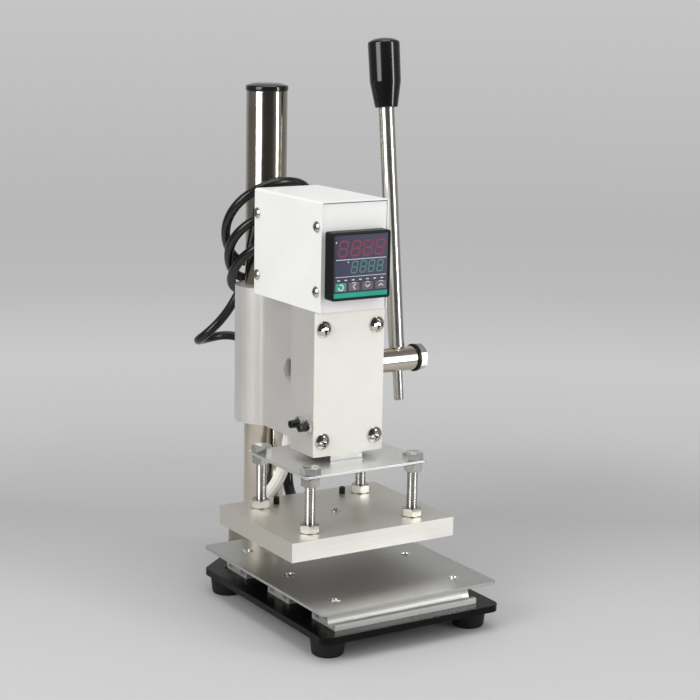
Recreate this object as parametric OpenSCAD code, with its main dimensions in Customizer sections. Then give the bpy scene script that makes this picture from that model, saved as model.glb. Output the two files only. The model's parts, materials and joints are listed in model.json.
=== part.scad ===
// Bench hot foil stamping press: a lever-driven ram with a heated plate,
// carried on a round column over a small work table.
// Built about the ram axis (x = 0, y = 0), +y towards the column, z = 0 under the feet.

/* [Base and feet] */
// Width of the base plate
base_w = 146; // [130:1:180]
// Thickness of the base plate
base_t = 5; // [4:0.5:8]
// Corner radius of the base plate
base_corner_r = 7; // [3:0.5:10]
// Ram axis to the front edge of the base plate
base_front = 106; // [104:1:130]
// Ram axis to the line where the base plate starts to narrow
base_rear = 66; // [62:1:74]
// Width of the round-ended rear tongue that carries the column
tongue_w = 54; // [50:1:60]
// Diameter of a rubber foot at its top
foot_d = 25; // [18:0.5:26]
// Diameter of a rubber foot at the floor
foot_floor_d = 22; // [14:0.5:24]
// Height of a rubber foot
foot_h = 13.5; // [8:0.5:16]
// Foot axis to the side edge of the base plate
foot_side_inset = 14.5; // [13:0.5:18]
// Foot axis to the front edge of the base plate
foot_front_inset = 19; // [13:0.5:22]
// Foot axis to the line where the base plate starts to narrow
foot_rear_inset = 8.5; // [8:0.5:20]

/* [Work table] */
// Width of the work table sheet
table_w = 144; // [120:1:160]
// Depth of the work table sheet
table_d = 172; // [160:1:176]
// Thickness of the work table sheet
table_t = 2; // [1.5:0.5:4]
// Corner radius of the work table sheet
table_corner_r = 4; // [1:0.5:10]
// Ram axis to the front edge of the work table
table_front = 102; // [98:1:106]
// Height of the rails under the work table
rail_h = 14; // [12:0.5:20]
// Width of a rail at its foot
rail_w = 30.5; // [26:0.5:34]
// Width of a rail under the table
rail_top_w = 10; // [9:0.5:14]
// Height of the lips along a rail's foot
rail_lip_h = 4; // [3:0.5:6]
// Width of the lips along a rail's foot
rail_lip_w = 3; // [2:0.5:4]
// Thickness of the foot between its lips
rail_foot_t = 2; // [1.5:0.25:2.5]
// Length of a rail
rail_l = 117; // [114:1:144]
// Spacing of the three rails
rail_pitch = 62; // [52:1:66]
// Spacing of the two table screws on a rail
table_screw_dx = 99; // [80:1:104]

/* [Column] */
// Diameter of the column tube
column_d = 31; // [28:0.5:32]
// Wall thickness of the column tube
column_wall = 2.5; // [1.5:0.25:4]
// Length of the column tube above the base plate
column_l = 349; // [320:1:380]
// Ram axis to the column axis
column_y = 108; // [104:1:112]
// Diameter of the boss round the foot of the column
boss_d = 54; // [50:1:60]
// Height of the boss
boss_h = 18; // [14:1:30]
// Height of the rim of the column cap
cap_rim_h = 3.5; // [2:0.5:12]
// Rise of the dome on the column cap
cap_dome = 2.5; // [1:0.5:5]

/* [Press head] */
// Height of the head profile
head_h = 105; // [98:1:116]
// Width of the front block of the head
block_w = 56; // [54:0.5:64]
// Depth of the rear wall behind the ram channel
block_rear_wall = 6; // [4:0.5:7]
// Width of the web between the block and the collar
web_w = 24; // [22:0.5:30]
// Outer diameter of the collar round the column
collar_d = 46; // [42:0.5:50]
// Fillet radius between web and collar
web_fillet_r = 9; // [4:0.5:12]
// Width of the front cover plate
cover_plate_w = 57; // [54:0.5:62]
// Height of the front cover plate
cover_plate_h = 104; // [96:1:105]
// Thickness of the front cover plate
cover_plate_t = 2; // [1:0.5:4]
// Thickness of the gib strip beside the ram
gib_t = 3; // [2:0.5:4]

/* [Ram and drive] */
// Side of the square ram
ram_w = 27; // [24:0.5:28]
// Gap from the upper plate to the bottom of the head at rest
ram_show = 4.5; // [2:0.5:10]
// Longest stroke of the ram
ram_stroke = 20; // [10:1:20]
// Module of the rack and pinion teeth
gear_module = 1.5; // [1.4:0.05:1.55]
// Teeth on the pinion
pinion_teeth = 20; // [18:1:20]
// Width of the pinion
pinion_w = 11; // [8:0.5:12]
// Rear face of the ram to the pitch line of the rack
rack_pitch_t = 8.5; // [7.5:0.25:9]
// Diameter of the pinion shaft
shaft_d = 18.5; // [16:0.5:20]
// Head bottom to the shaft axis
shaft_up = 52.5; // [50:0.5:56]
// Ram axis to the right end of the pinion shaft
shaft_right = 88.5; // [84:0.5:96]
// Ram axis to the plane of the lever
lever_x = 75; // [68:0.5:78]
// Backward lean of the lever at rest, in degrees
lever_lean = 6.8; // [0:0.1:15]
// Diameter of the lever rod
rod_d = 12; // [9:0.5:13]
// Diameter of the rod's lower end, through the shaft
rod_stub_d = 7.5; // [5:0.5:8]
// Shaft axis to the lower end of the rod
rod_stub_l = 31; // [14:1:40]
// Shaft axis to the lower end of the grip
grip_from = 189; // [150:1:220]
// Length of the grip
grip_l = 52; // [46:1:70]
// Diameter of the grip at its top
grip_d = 24; // [20:0.5:26]
// Diameter of the grip at its lower end
grip_neck_d = 17; // [13:0.5:18]
// Length of the grip's tapered lower end
grip_taper_l = 19.5; // [12:0.5:26]
// Rise of the dome on the grip
grip_dome = 3.2; // [2:0.2:6]

/* [Heated plates] */
// Width of the heating plate
heat_w = 135; // [120:1:150]
// Depth of the heating plate
heat_d = 106; // [100:1:110]
// Thickness of the heating plate
heat_t = 14; // [12:0.5:20]
// Width of the upper plate
upper_w = 101; // [98:1:116]
// Depth of the upper plate
upper_d = 84; // [82:1:96]
// Thickness of the upper plate
upper_t = 2; // [1.5:0.5:4]
// Space between the two plates
standoff = 40; // [36:1:44]
// Side edge of the upper plate to a standoff bolt
bolt_edge_x = 7.5; // [7.5:0.25:11]
// Front or rear edge of the upper plate to a standoff bolt
bolt_edge_y = 7; // [6.5:0.25:11]
// Diameter of the standoff bolts
bolt_d = 8; // [6:0.5:8]
// Open height between the work table and the heating plate
work_gap = 21; // [20.5:0.5:30]
// Diameter of the cartridge heaters
heater_d = 9; // [6:0.5:9]
// Length of the cartridge heaters
heater_l = 88; // [60:1:94]
// Ram axis to a cartridge heater
heater_x = 28.5; // [22:0.5:32]

/* [Control box] */
// Width of the control box
box_w = 55.5; // [54:0.5:60]
// Depth of the control box
box_d = 95; // [90:1:98]
// Height of the control box
box_h = 78; // [74:1:96]
// Ram axis to the front edge of the box cover
box_front = 19.5; // [18:0.5:22]
// Thickness of the box sheet
sheet_t = 1; // [0.8:0.1:1.2]
// Set-back of the front panel behind the cover's edge
panel_inset = 1; // [0.5:0.25:2]

/* [Controller] */
// Side of the controller face
face_w = 48; // [47:0.5:49]
// Depth of the bezel in front of the panel
bezel_d = 10; // [7:0.5:12]
// Side of the controller case behind the panel
case_w = 44; // [42:0.5:45]
// Depth of the controller case behind the bezel
case_d = 66; // [50:1:70]
// Side of the controller window
window_w = 44; // [42:0.5:44.5]
// Width of a controller key
key_w = 9.2; // [7:0.2:9.6]
// Height of a controller key
key_h = 6.2; // [5:0.2:7]
// Travel of a controller key
key_travel = 0.4; // [0.2:0.1:0.8]

/* [Cord] */
// Diameter of the mains cord
cord_d = 7; // [5:0.25:7.5]
// Diameter of the braided heater sleeve
sleeve_d = 9.5; // [7:0.25:9.5]
// Diameter of the sensor lead
sensor_lead_d = 8; // [5:0.25:8]

/* [Hidden] */
$fn = 48;

// Clearances: flat sliding faces, turning shafts, parts put together and screws in their holes
slide_gap = 0.05;
run_gap = 0.05;
seat_gap = 0.05;
screw_gap = 0.1;
over = 1;

// Heights
base_top = foot_h + base_t;
rail_top = base_top + rail_h;
table_top = rail_top + table_t;
heat_z = table_top + work_gap;
heat_top = heat_z + heat_t;
upper_z = heat_top + standoff;
upper_top = upper_z + upper_t;
head_z = upper_top + ram_show;
head_top = head_z + head_h;
shaft_z = head_z + shaft_up;
column_top = base_top + column_l;

// Base plan
tongue_end = column_y + tongue_w / 2;
chamfer_end = base_rear + (base_w - tongue_w) / 2 * 0.8;
foot_x = base_w / 2 - foot_side_inset;
foot_front_y = -base_front + foot_front_inset;
foot_rear_y = base_rear - foot_rear_inset;
foot_places = [for (x = [-foot_x, foot_x], y = [foot_front_y, foot_rear_y]) [x, y, 0]];
foot_screw_d = 5;
foot_screw_head = [9.5, 2.6];
foot_screw_l = base_t + foot_h * 0.55;

// Rails and table
table_mid_y = -table_front + table_d / 2;
table_boss_gap = 3;
rail_mid_y = table_mid_y - 3;
rail_ys = [rail_mid_y - rail_pitch, rail_mid_y, rail_mid_y + rail_pitch];
rail_flare = 1.2;
rail_flare_h = 4;
table_screw_d = 4;
table_screw_head = [8, 2];
table_screw_l = 9;
rail_screw_d = 4;
rail_screw_head = [8, 2];
rail_screw_dx = table_screw_dx - 30;
rail_screw_in = 7;

// Column
boss_screw_d = 5;
boss_screw_head = [9, 3];
boss_screw_pcd = (boss_d + column_d) / 2;
boss_screws_n = 3;
cap_d = column_d + 1;
cap_stem_l = 14;
cap_stem_d = column_d - 2 * column_wall - 2 * seat_gap;

// Ram, gib and channel in the block
ram_half = ram_w / 2;
block_front = ram_half + slide_gap;
block_rear = ram_half + slide_gap + block_rear_wall;
channel_left = ram_half + 2 * slide_gap + gib_t;
channel_right = ram_half + slide_gap;
ram_over_shaft = 36;
ram_top = shaft_z + ram_over_shaft;
gib_d = ram_w - 3;
gib_margin = 3;

// Rack and pinion
pitch_r = gear_module * pinion_teeth / 2;
tip_r = pitch_r + gear_module;
root_r = pitch_r - 1.25 * gear_module;
pressure_angle = 20;
backlash = 0.24;
rack_pitch_y = ram_half + rack_pitch_t;
shaft_y = rack_pitch_y + pitch_r;
rack_tip_y = rack_pitch_y + gear_module;
rack_root_y = rack_pitch_y - 1.25 * gear_module;
tooth_pitch = PI * gear_module;
rack_half_l = 5.5 * tooth_pitch;
rack_mid_z = shaft_z + tooth_pitch * 2;
drive_slot_w = pinion_w + 2;
pocket_r = tip_r + 1;
rack_slot_top = rack_mid_z + rack_half_l + 2;
rack_slot_low = rack_mid_z - rack_half_l - ram_stroke - 2;
rack_screw_d = 4;
rack_screw_head = [7.5, 2];
rack_screw_in = 6;
rack_screw_zs = [for (s = [-1, 1]) rack_mid_z + s * 4 * tooth_pitch];

// Web: chamber for the leads, behind the pinion pocket
chamber_wall = 3.5;
chamber_w = web_w - 2 * chamber_wall;
chamber_y = shaft_y + pocket_r + 3;
chamber_column_gap = 8;
chamber_end = column_y - column_d / 2 - chamber_column_gap;

// Shaft and its end bolts
shaft_left = -web_w / 2 - 0.3;
end_bolt_d = 12;
end_bolt_af = 18;
end_bolt_head = 6.4;
spring_washer_d = 21;
spring_washer_t = 2.6;
left_bolt_l = 18;
right_bolt_l = shaft_right + spring_washer_t - lever_x - rod_stub_d / 2 - 1.5;
shaft_end_x = shaft_right + spring_washer_t + end_bolt_head;

// Front cover, gib and clamp screws
cover_screw_d = 6;
cover_screw_head = [11.6, 3.5];
cover_screw_side = 6.2;
cover_screw_xs = [for (s = [-1, 1]) s * (block_w / 2 - cover_screw_side)];
cover_screw_inset = 12;
cover_screw_zs = [head_z + cover_screw_inset, head_top - cover_screw_inset];
cover_screw_l = 14;
gib_screw_d = 6;
gib_screw_out = 9.3;
gib_screw_ys = [ram_half - 9.5, -ram_half + 5];
gib_screw_z = head_z + 21.8;
gib_nut_af = 9.4;
gib_nut_t = 3.2;
clamp_d = 8;
clamp_af = 13;
clamp_head = 5.3;
clamp_out = 3;
clamp_rise = 22;
clamp_pitch = 40;
clamp_zs = [head_z + clamp_rise, head_z + clamp_rise + clamp_pitch];

// Return spring in the ram
spring_bore_r = 6.5;
spring_bore_depth = 42;
spring_r = 4.6;
spring_wire = 1.6;
spring_turns = 10;
spring_rings = 8;
anchor_t = 3;
anchor_w = 8;
anchor_reach = 4;
anchor_y = 0;
spring_low = ram_top - spring_bore_depth + spring_wire / 2 + seat_gap;
spring_high = head_top - anchor_t - spring_wire / 2 - seat_gap;

// Standoff bolts and plates
bolt_x = upper_w / 2 - bolt_edge_x;
bolt_y = upper_d / 2 - bolt_edge_y;
bolt_places = [for (x = [-1, 1], y = [-1, 1]) [x * bolt_x, y * bolt_y, 0]];
bolt_af = bolt_d * 1.625;
bolt_head_h = bolt_d * 0.66;
nut_h = bolt_d * 0.8;
bolt_in_plate = 9;
bolt_l = upper_t + standoff + bolt_in_plate;
plate_screw_d = 6;
plate_screw_head = [10.5, 3.2];
plate_screw_y = ram_half / 2 + 1;
plate_screw_l = 14 + upper_t;
heater_z = heat_z + heat_t / 2;
heater_y = heat_d / 2 - heater_l;
set_screw_d = 4.6;
set_screw_out = 5;
set_screw_y = heat_d / 2 - 15.5;
sensor_d = 5;
sensor_l = heat_d / 2 - 8;
plate_center_screw = [6, 1.8];
plate_center_screw_d = 3.5;
plate_center_screw_l = 4;

// Control box
box_z = head_top;
box_top = box_z + box_h;
box_rear = -box_front + box_d;
chassis_w = box_w - 2 * (sheet_t + seat_gap);
panel_y = -box_front + panel_inset;
rear_panel_y = box_rear - panel_inset - sheet_t;
chassis_top = box_top - sheet_t - seat_gap;
flange_w = 12;
box_screw_d = 4;
box_screw_head = [8, 2.6];
box_screw_l = 2 * sheet_t + 1;
box_screw_ys = [panel_y + sheet_t + flange_w * 0.3, rear_panel_y - flange_w * 0.25];
box_screw_zs = [box_z + 14.7, box_top - 17.7];
floor_screw_d = 5;
floor_screw_head = [9, 2.8];
floor_screw_l = 11;
floor_screw_y = anchor_y + anchor_w / 2 + 5.5;
floor_screws = [
    [cover_screw_xs[0], floor_screw_y], [cover_screw_xs[1], floor_screw_y], [0, shaft_y + pocket_r - 6]
];

// Controller
face_z = box_z + 33.5;
face_y = panel_y - bezel_d;
window_set = 0.6;
window_t = 1.5;
window_y = face_y + window_set;
bezel_corner_r = 2;
cutout_w = case_w + 0.6;
clip_w = min(chassis_w - 2 * sheet_t - 3, case_w + 4);
clip_t = 5;
key_gap = 0.15;
key_proud = 0.3;
key_d = 2.2;
key_pitch = window_w / 4;
key_z = face_z - window_w / 2 + 4.2 + key_h / 2 + key_gap;
key_pocket_d = window_y - key_proud + key_d + key_travel + 0.3 - (window_y + window_t);

// Mains cord: gland, lead, coil round the column, tail and plug
gland_x = 19;
gland_z = box_z + 11.5;
gland_flange = [13, 3];
gland_neck_d = 9;
gland_tip_d = cord_d + 2.5;
gland_tip_y = 98;
coil_first = 0.5;
coil_last = 2.75;
coil_front_y = 87;
coil_half_depth = 24.7;
coil_half_width = 26;
coil_widen = 2.7;
coil_front_z = 246.3;
coil_front_climb = 21.9;
coil_rear_z = 208.2;
coil_rear_climb = 12.8;
coil_egg = 0.24;
coil_rings = 24;
coil_sides = 6;
cord_sides = 8;
plug_x = 22;
plug_y = 145;
plug_top = 94.5;
lead_points = [
    [gland_x, gland_tip_y, gland_z], [19.2, 104.6, 232.6], [20.8, 112, 229.9], [23.8, 120, 223.7],
    [23.4, 128, 217.5], [17.4, 134.8, 213.3], [7, 138.8, 211.3], [-4.5, 138.6, 211.9], [-13.8, 133.6, 216.1],
    [-20.3, 125.6, 223.1], [-23.4, 116, 231.3], [-24, 106, 240], [-20.8, 97, 248],
    [-14.5, 90.6, 253.9], [-7, 87.5, 256.7]
];
tail_points = [
    [30.5, 121.5, 263.5], [25.5, 131.5, 252], [19, 140.5, 240.5], [11, 146, 228.5], [3.5, 148.5, 215.5],
    [-4.5, 149, 202], [-12.5, 149, 191.5], [-20.5, 150.2, 183.1], [-26.5, 154.5, 176.1],
    [-28.4, 162, 171.1], [-25.6, 170.6, 168.1], [-18.4, 177.4, 166.9], [-8, 181, 167.3],
    [3, 181.6, 168.1], [13, 178.8, 167.1], [20.4, 172.6, 162.1], [24.2, 164.4, 152.9],
    [24.8, 156, 141.1], [23.6, 149.4, 128.1], [22.3, 145.8, 115.5], [plug_x, plug_y, 104.5],
    [plug_x, plug_y, plug_top]
];

// Leads from the heating plate up through the web
sleeve_x = -heater_x;
sleeve_points = [
    [sleeve_x, heat_d / 2, heater_z], [-28.2, 58, 62.7], [-25.2, 63.4, 64.3], [-18.8, 66.8, 68.1],
    [-12, 67.6, 74.5], [-7.4, 67.2, 83], [-4.8, 66.4, 93], [-3.3, 65.4, 103.5], [-2.5, 64.5, 115.5],
    [-3.4, 62.6, 152.5], [-3.6, 62.4, 192.5], [-3.6, 62.4, 224.5]
];
sensor_points = [
    [0, heat_d / 2, heater_z], [0, 60, 62.5], [1, 68, 65.5], [2, 73.5, 72.5], [3, 76, 82.5], [3, 76.5, 94.5],
    [3, 76, 115.5], [3.6, 72, 152.5], [4.2, 68.2, 192.5], [4.2, 68.2, 224.5]
];
lead_sides = 10;

// The part stands with its box centred over the origin
origin_x = (shaft_end_x - base_w / 2) / 2;
origin_y = (tongue_end - base_front) / 2;

// Paths and swept tubes
function unit(v) = v / norm(v);
function square_to(v, along) = unit(v - (v * along) * along);
function coil_point(t) =
    let (
        turn = 360 * (t - 0.5),
        half_w = coil_half_width + coil_widen * t,
        front_z = coil_front_z + coil_front_climb * t,
        rear_z = coil_rear_z + coil_rear_climb * t
    )
    [
        half_w * sin(turn) * (1 + coil_egg * cos(turn)),
        coil_front_y + coil_half_depth * (1 - cos(turn)),
        (front_z + rear_z) / 2 + (front_z - rear_z) / 2 * cos(turn)
    ];
function coil_heading(t) = unit(coil_point(t + 0.001) - coil_point(t - 0.001));
coil_steps = round((coil_last - coil_first) * coil_rings);
coil_points = [for (i = [0:coil_steps]) coil_point(coil_first + i / coil_rings)];
lead_path = concat(lead_points, [coil_points[0]]);
tail_path = concat([coil_points[coil_steps]], tail_points);

// Heading at each point of a path, with the first and last given
function headings(path, first, last) = [
    for (i = [0:len(path) - 1])
        i == 0 ? first : i == len(path) - 1 ? last : unit(path[i + 1] - path[i - 1])
];
// One side direction per ring, carried along the path without twist
function ring_sides(head, start) = [
    for (i = 0, side = square_to(start, head[0]);
         i < len(head);
         i = i + 1, side = i < len(head) ? square_to(side, head[i]) : side)
        side
];
function ring(center, heading, side, r, sides) =
    let (other = cross(heading, side))
    [for (k = [0:sides - 1]) center + r * (cos(360 * k / sides) * side + sin(360 * k / sides) * other)];

module tube(path, first, last, d, sides, start = [0, 0, 1]) {
    head = headings(path, first, last);
    side = ring_sides(head, start);
    rings = len(path);
    points = [for (i = [0:rings - 1]) each ring(path[i], head[i], side[i], d / 2, sides)];
    walls = [
        for (i = [0:rings - 2], k = [0:sides - 1])
            let (a = i * sides + k, b = i * sides + (k + 1) % sides)
            each [[a, a + sides, b], [b, a + sides, b + sides]]
    ];
    end = (rings - 1) * sides;
    caps = [for (k = [1:sides - 2]) each [[0, k, k + 1], [end, end + k + 1, end + k]]];
    polyhedron(points = points, faces = concat(walls, caps));
}

coil_gap = min([
    for (i = [0:coil_steps], j = [i + coil_rings / 3:coil_steps]) norm(coil_points[i] - coil_points[j])
]) - cord_d;
function spring_point(t) = [
    spring_r * cos(360 * t), spring_r * sin(360 * t),
    spring_low + (spring_high - spring_low) * t / spring_turns
];
spring_points = [for (i = [0:spring_turns * spring_rings]) spring_point(i / spring_rings)];
spring_gap = (spring_high - spring_low) / spring_turns - spring_wire;
echo(coil_gap = coil_gap, spring_gap = spring_gap);

// Repeated shapes
module at_each(places) for (p = places) translate(p) children();

module round_plate(w, d, t, r) {
    translate([-w / 2 + r, -d / 2, 0]) cube([w - 2 * r, d, t]);
    translate([-w / 2, -d / 2 + r, 0]) cube([w, d - 2 * r, t]);
    for (x = [-1, 1], y = [-1, 1])
        translate([x * (w / 2 - r), y * (d / 2 - r), 0]) cylinder(r = r, h = t);
}

module hex(af, h) cylinder(d = af / cos(30), h = h, $fn = 6);

module cross_slot(w, depth) {
    translate([-w / 2, -w / 8, -depth]) cube([w, w / 4, depth + over]);
    translate([-w / 8, -w / 2, -depth]) cube([w / 4, w, depth + over]);
}

// Screw with a domed head: z = 0 under the head, shank downwards
module pan_screw(d, l, head) {
    rise = head[1] * 0.7;
    dome = (head[0] * head[0] / 4 + rise * rise) / (2 * rise);
    difference() {
        union() {
            translate([0, 0, -l]) cylinder(d = d, h = l);
            intersection() {
                cylinder(d = head[0], h = head[1]);
                translate([0, 0, head[1] - dome]) sphere(r = dome);
            }
        }
        translate([0, 0, head[1]]) cross_slot(head[0] * 0.56, head[1] * 0.5);
    }
}

// Screw with a countersunk head: z = 0 on top of the head
module flat_screw(d, l, head) {
    difference() {
        union() {
            translate([0, 0, -l]) cylinder(d = d, h = l);
            translate([0, 0, -head[1]]) cylinder(d1 = d, d2 = head[0], h = head[1]);
        }
        cross_slot(head[0] * 0.6, head[1] * 0.5);
    }
}
module flat_screw_hole(d, l, head) {
    translate([0, 0, -l]) cylinder(d = d + 2 * screw_gap, h = l + over);
    translate([0, 0, -head[1]])
        cylinder(d1 = d + 2 * screw_gap, d2 = head[0] + 2 * screw_gap, h = head[1]);
    cylinder(d = head[0] + 2 * screw_gap, h = over);
}
module hole(d, l) translate([0, 0, -l]) cylinder(d = d + 2 * screw_gap, h = l + over);

module socket_cup(af, depth) translate([0, 0, -depth]) hex(af, depth + over);

// Directions that screws point in: their heads face left, right, front or down
module facing_left() rotate([0, -90, 0]) children();
module facing_right() rotate([0, 90, 0]) children();
module facing_front() rotate([90, 0, 0]) children();
module facing_down() rotate([180, 0, 0]) children();

// Base
module base_body() {
    half = base_w / 2;
    r = base_corner_r;
    inside = base_rear - 3 * r;
    edge = [[half, base_rear - 2.4], [half - 0.5, base_rear - 0.9], [half - 1.5, base_rear + 0.7]];
    flank = concat([[half, inside]], edge, [[tongue_w / 2, chamfer_end], [tongue_w / 2, column_y]]);
    other = [for (i = [len(flank) - 1:-1:0]) [-flank[i][0], flank[i][1]]];
    translate([0, (base_rear - base_front) / 2, 0]) round_plate(base_w, base_front + base_rear, base_t, r);
    linear_extrude(base_t) polygon(concat(flank, other));
    translate([0, column_y, 0]) cylinder(d = tongue_w, h = base_t);
}

module boss_screw_places()
    translate([0, column_y, 0])
        for (i = [0:boss_screws_n - 1]) rotate(90 + 360 * i / boss_screws_n)
            translate([boss_screw_pcd / 2, 0, 0]) children();

module rail_screw_places()
    for (y = rail_ys, x = [-1, 1]) translate([x * rail_screw_dx / 2, y, foot_h]) facing_down() children();

module base_plate() color("#1c1c1e")
    difference() {
        translate([0, 0, foot_h]) base_body();
        at_each(foot_places) translate([0, 0, base_top])
            flat_screw_hole(foot_screw_d, base_t + over, foot_screw_head);
        rail_screw_places() flat_screw_hole(rail_screw_d, base_t + over, rail_screw_head);
        boss_screw_places() translate([0, 0, base_top]) hole(boss_screw_d, base_t + over);
    }

module rubber_feet() color("#151515")
    at_each(foot_places) difference() {
        cylinder(d1 = foot_floor_d, d2 = foot_d, h = foot_h);
        translate([0, 0, foot_h]) hole(foot_screw_d, foot_screw_l - base_t + seat_gap);
    }

module foot_screws() color("#2a2a2c")
    at_each(foot_places) translate([0, 0, base_top])
        flat_screw(foot_screw_d, foot_screw_l, foot_screw_head);

// Table on its three rails
module rail_profile()
    polygon([
        for (s = [-1, 1]) each [
            for (i = [0:6]) let (p = [
                [rail_w / 2, 0], [rail_w / 2, rail_lip_h], [rail_w / 2 - rail_lip_w, rail_lip_h],
                [rail_w / 2 - rail_lip_w, rail_foot_t], [rail_top_w / 2 + rail_flare, rail_foot_t],
                [rail_top_w / 2, rail_foot_t + rail_flare_h], [rail_top_w / 2, rail_h]
            ][s < 0 ? i : 6 - i]) [s * p[0], p[1]]
        ]
    ]);

module rail(i) color("#c9c8c4")
    difference() {
        translate([-rail_l / 2, rail_ys[i], base_top]) rotate([90, 0, 90])
            linear_extrude(rail_l) rail_profile();
        for (x = [-1, 1]) translate([x * table_screw_dx / 2, rail_ys[i], rail_top])
            hole(table_screw_d, table_screw_l - table_t + seat_gap);
        for (x = [-1, 1]) translate([x * rail_screw_dx / 2, rail_ys[i], base_top]) facing_down()
            hole(rail_screw_d, rail_screw_in + seat_gap);
    }
module rail_front() rail(0);
module rail_middle() rail(1);
module rail_rear() rail(2);

module rail_screws() color("#77777a")
    rail_screw_places() flat_screw(rail_screw_d, base_t + rail_screw_in, rail_screw_head);

module table_screw_places()
    for (y = rail_ys, x = [-1, 1]) translate([x * table_screw_dx / 2, y, table_top]) children();

module work_table() color("#b9bcc0")
    difference() {
        translate([0, table_mid_y, rail_top]) round_plate(table_w, table_d, table_t, table_corner_r);
        table_screw_places() flat_screw_hole(table_screw_d, table_t + over, table_screw_head);
        translate([0, column_y, rail_top - over])
            cylinder(d = boss_d + 2 * table_boss_gap, h = table_t + 2 * over);
    }

module table_screws() color("#c8c8c8")
    table_screw_places() flat_screw(table_screw_d, table_screw_l, table_screw_head);

// Column
module column_boss() color("#c4c4c2")
    difference() {
        translate([0, column_y, base_top]) cylinder(d = boss_d, h = boss_h);
        translate([0, column_y, base_top - over])
            cylinder(d = column_d + 2 * seat_gap, h = boss_h + 2 * over);
        boss_screw_places() translate([0, 0, base_top + boss_h * 0.6]) hole(boss_screw_d, boss_h);
    }

module boss_screws() color("#77777a")
    boss_screw_places() translate([0, 0, foot_h]) facing_down()
        pan_screw(boss_screw_d, base_t + boss_h * 0.5, boss_screw_head);

module column() color("#cfc8b8")
    translate([0, column_y, base_top]) difference() {
        cylinder(d = column_d, h = column_l);
        translate([0, 0, -over]) cylinder(d = column_d - 2 * column_wall, h = column_l + 2 * over);
    }

module column_cap() color("#161616")
    translate([0, column_y, column_top]) {
        dome = (cap_d * cap_d / 4 + cap_dome * cap_dome) / (2 * cap_dome);
        intersection() {
            cylinder(d = cap_d, h = cap_rim_h + cap_dome);
            translate([0, 0, cap_rim_h + cap_dome - dome]) sphere(r = dome);
        }
        translate([0, 0, -cap_stem_l]) cylinder(d = cap_stem_d, h = cap_stem_l + over);
    }

// Press head
module collar_fillet() {
    reach = collar_d / 2 + web_fillet_r - 0.05;
    side = web_w / 2 + web_fillet_r;
    rise = sqrt(reach * reach - side * side);
    touch = collar_d / 2 / reach;
    difference() {
        polygon([
            [0, column_y - rise], [side, column_y - rise],
            [side * touch, column_y - rise * touch], [0, column_y]
        ]);
        translate([side, column_y - rise]) circle(r = web_fillet_r);
    }
}

module head_profile() {
    difference() {
        union() {
            translate([-block_w / 2, -block_front]) square([block_w, block_front + block_rear]);
            translate([-web_w / 2, block_rear - over]) square([web_w, column_y - block_rear]);
            translate([0, column_y]) circle(d = collar_d);
            for (s = [-1, 1]) scale([s, 1]) collar_fillet();
        }
        translate([0, column_y]) circle(d = column_d + 2 * run_gap);
        translate([-channel_left, -block_front - over])
            square([channel_left + channel_right, 2 * block_front + over]);
        translate([-chamber_w / 2, chamber_y]) square([chamber_w, chamber_end - chamber_y]);
    }
}

module head_body() color("#b5b1ac")
    difference() {
        translate([0, 0, head_z]) linear_extrude(head_h) head_profile();
        // Pocket for the pinion, slot for the rack and bore for the shaft
        translate([-drive_slot_w / 2, shaft_y, shaft_z]) rotate([0, 90, 0])
            cylinder(r = pocket_r, h = drive_slot_w);
        translate([-drive_slot_w / 2, ram_half, rack_slot_low])
            cube([drive_slot_w, rack_tip_y + 0.7 - ram_half, rack_slot_top - rack_slot_low]);
        translate([-web_w, shaft_y, shaft_z]) rotate([0, 90, 0])
            cylinder(d = shaft_d + 2 * run_gap, h = 2 * web_w);
        // Recess for the spring's anchor bar
        translate([-channel_left - anchor_reach, anchor_y - anchor_w / 2 - seat_gap, head_top - anchor_t])
            cube([
                channel_left + channel_right + 2 * anchor_reach, anchor_w + 2 * seat_gap, anchor_t + over
            ]);
        // Screw holes
        for (x = cover_screw_xs, z = cover_screw_zs)
            translate([x, -block_front, z]) facing_front() hole(cover_screw_d, cover_screw_l);
        for (y = gib_screw_ys)
            translate([-block_w / 2, y, gib_screw_z]) facing_left()
                hole(gib_screw_d, block_w / 2 - ram_half);
        for (z = clamp_zs)
            translate([collar_d / 2, column_y, z]) facing_right() hole(clamp_d, collar_d / 2);
        for (p = floor_screws)
            translate([p[0], p[1], head_top]) hole(floor_screw_d, floor_screw_l + over);
    }

module clamp_bolts() color("#b8b6b0")
    for (z = clamp_zs) translate([collar_d / 2 + clamp_out, column_y, z]) facing_right() {
        hex(clamp_af, clamp_head);
        reach = clamp_out + (collar_d - column_d) / 2 - seat_gap;
        translate([0, 0, -reach]) cylinder(d = clamp_d, h = reach);
    }

module front_cover_plate() color("#efece4")
    difference() {
        translate([0, -block_front, (head_z + head_top) / 2]) facing_front()
            round_plate(cover_plate_w, cover_plate_h, cover_plate_t, 1.5);
        for (x = cover_screw_xs, z = cover_screw_zs)
            translate([x, -block_front - cover_plate_t, z]) facing_front()
                hole(cover_screw_d, cover_plate_t + over);
    }

module front_cover_screws() color("#c9c9c9")
    for (x = cover_screw_xs, z = cover_screw_zs)
        translate([x, -block_front - cover_plate_t, z]) facing_front()
            pan_screw(cover_screw_d, cover_screw_l - over, cover_screw_head);

module gib_strip() color("#b08d57")
    translate([-ram_half - slide_gap - gib_t, -gib_d / 2, head_z + gib_margin])
        cube([gib_t, gib_d, head_h - 2 * gib_margin - anchor_t]);

module gib_screws() color("#141414")
    for (y = gib_screw_ys) translate([-block_w / 2 - gib_screw_out, y, gib_screw_z]) facing_left()
        difference() {
            length = gib_screw_out + block_w / 2 - ram_half - slide_gap - gib_t - seat_gap;
            translate([0, 0, -length]) cylinder(d = gib_screw_d, h = length);
            socket_cup(gib_screw_d / 2, 2.5);
        }

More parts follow.
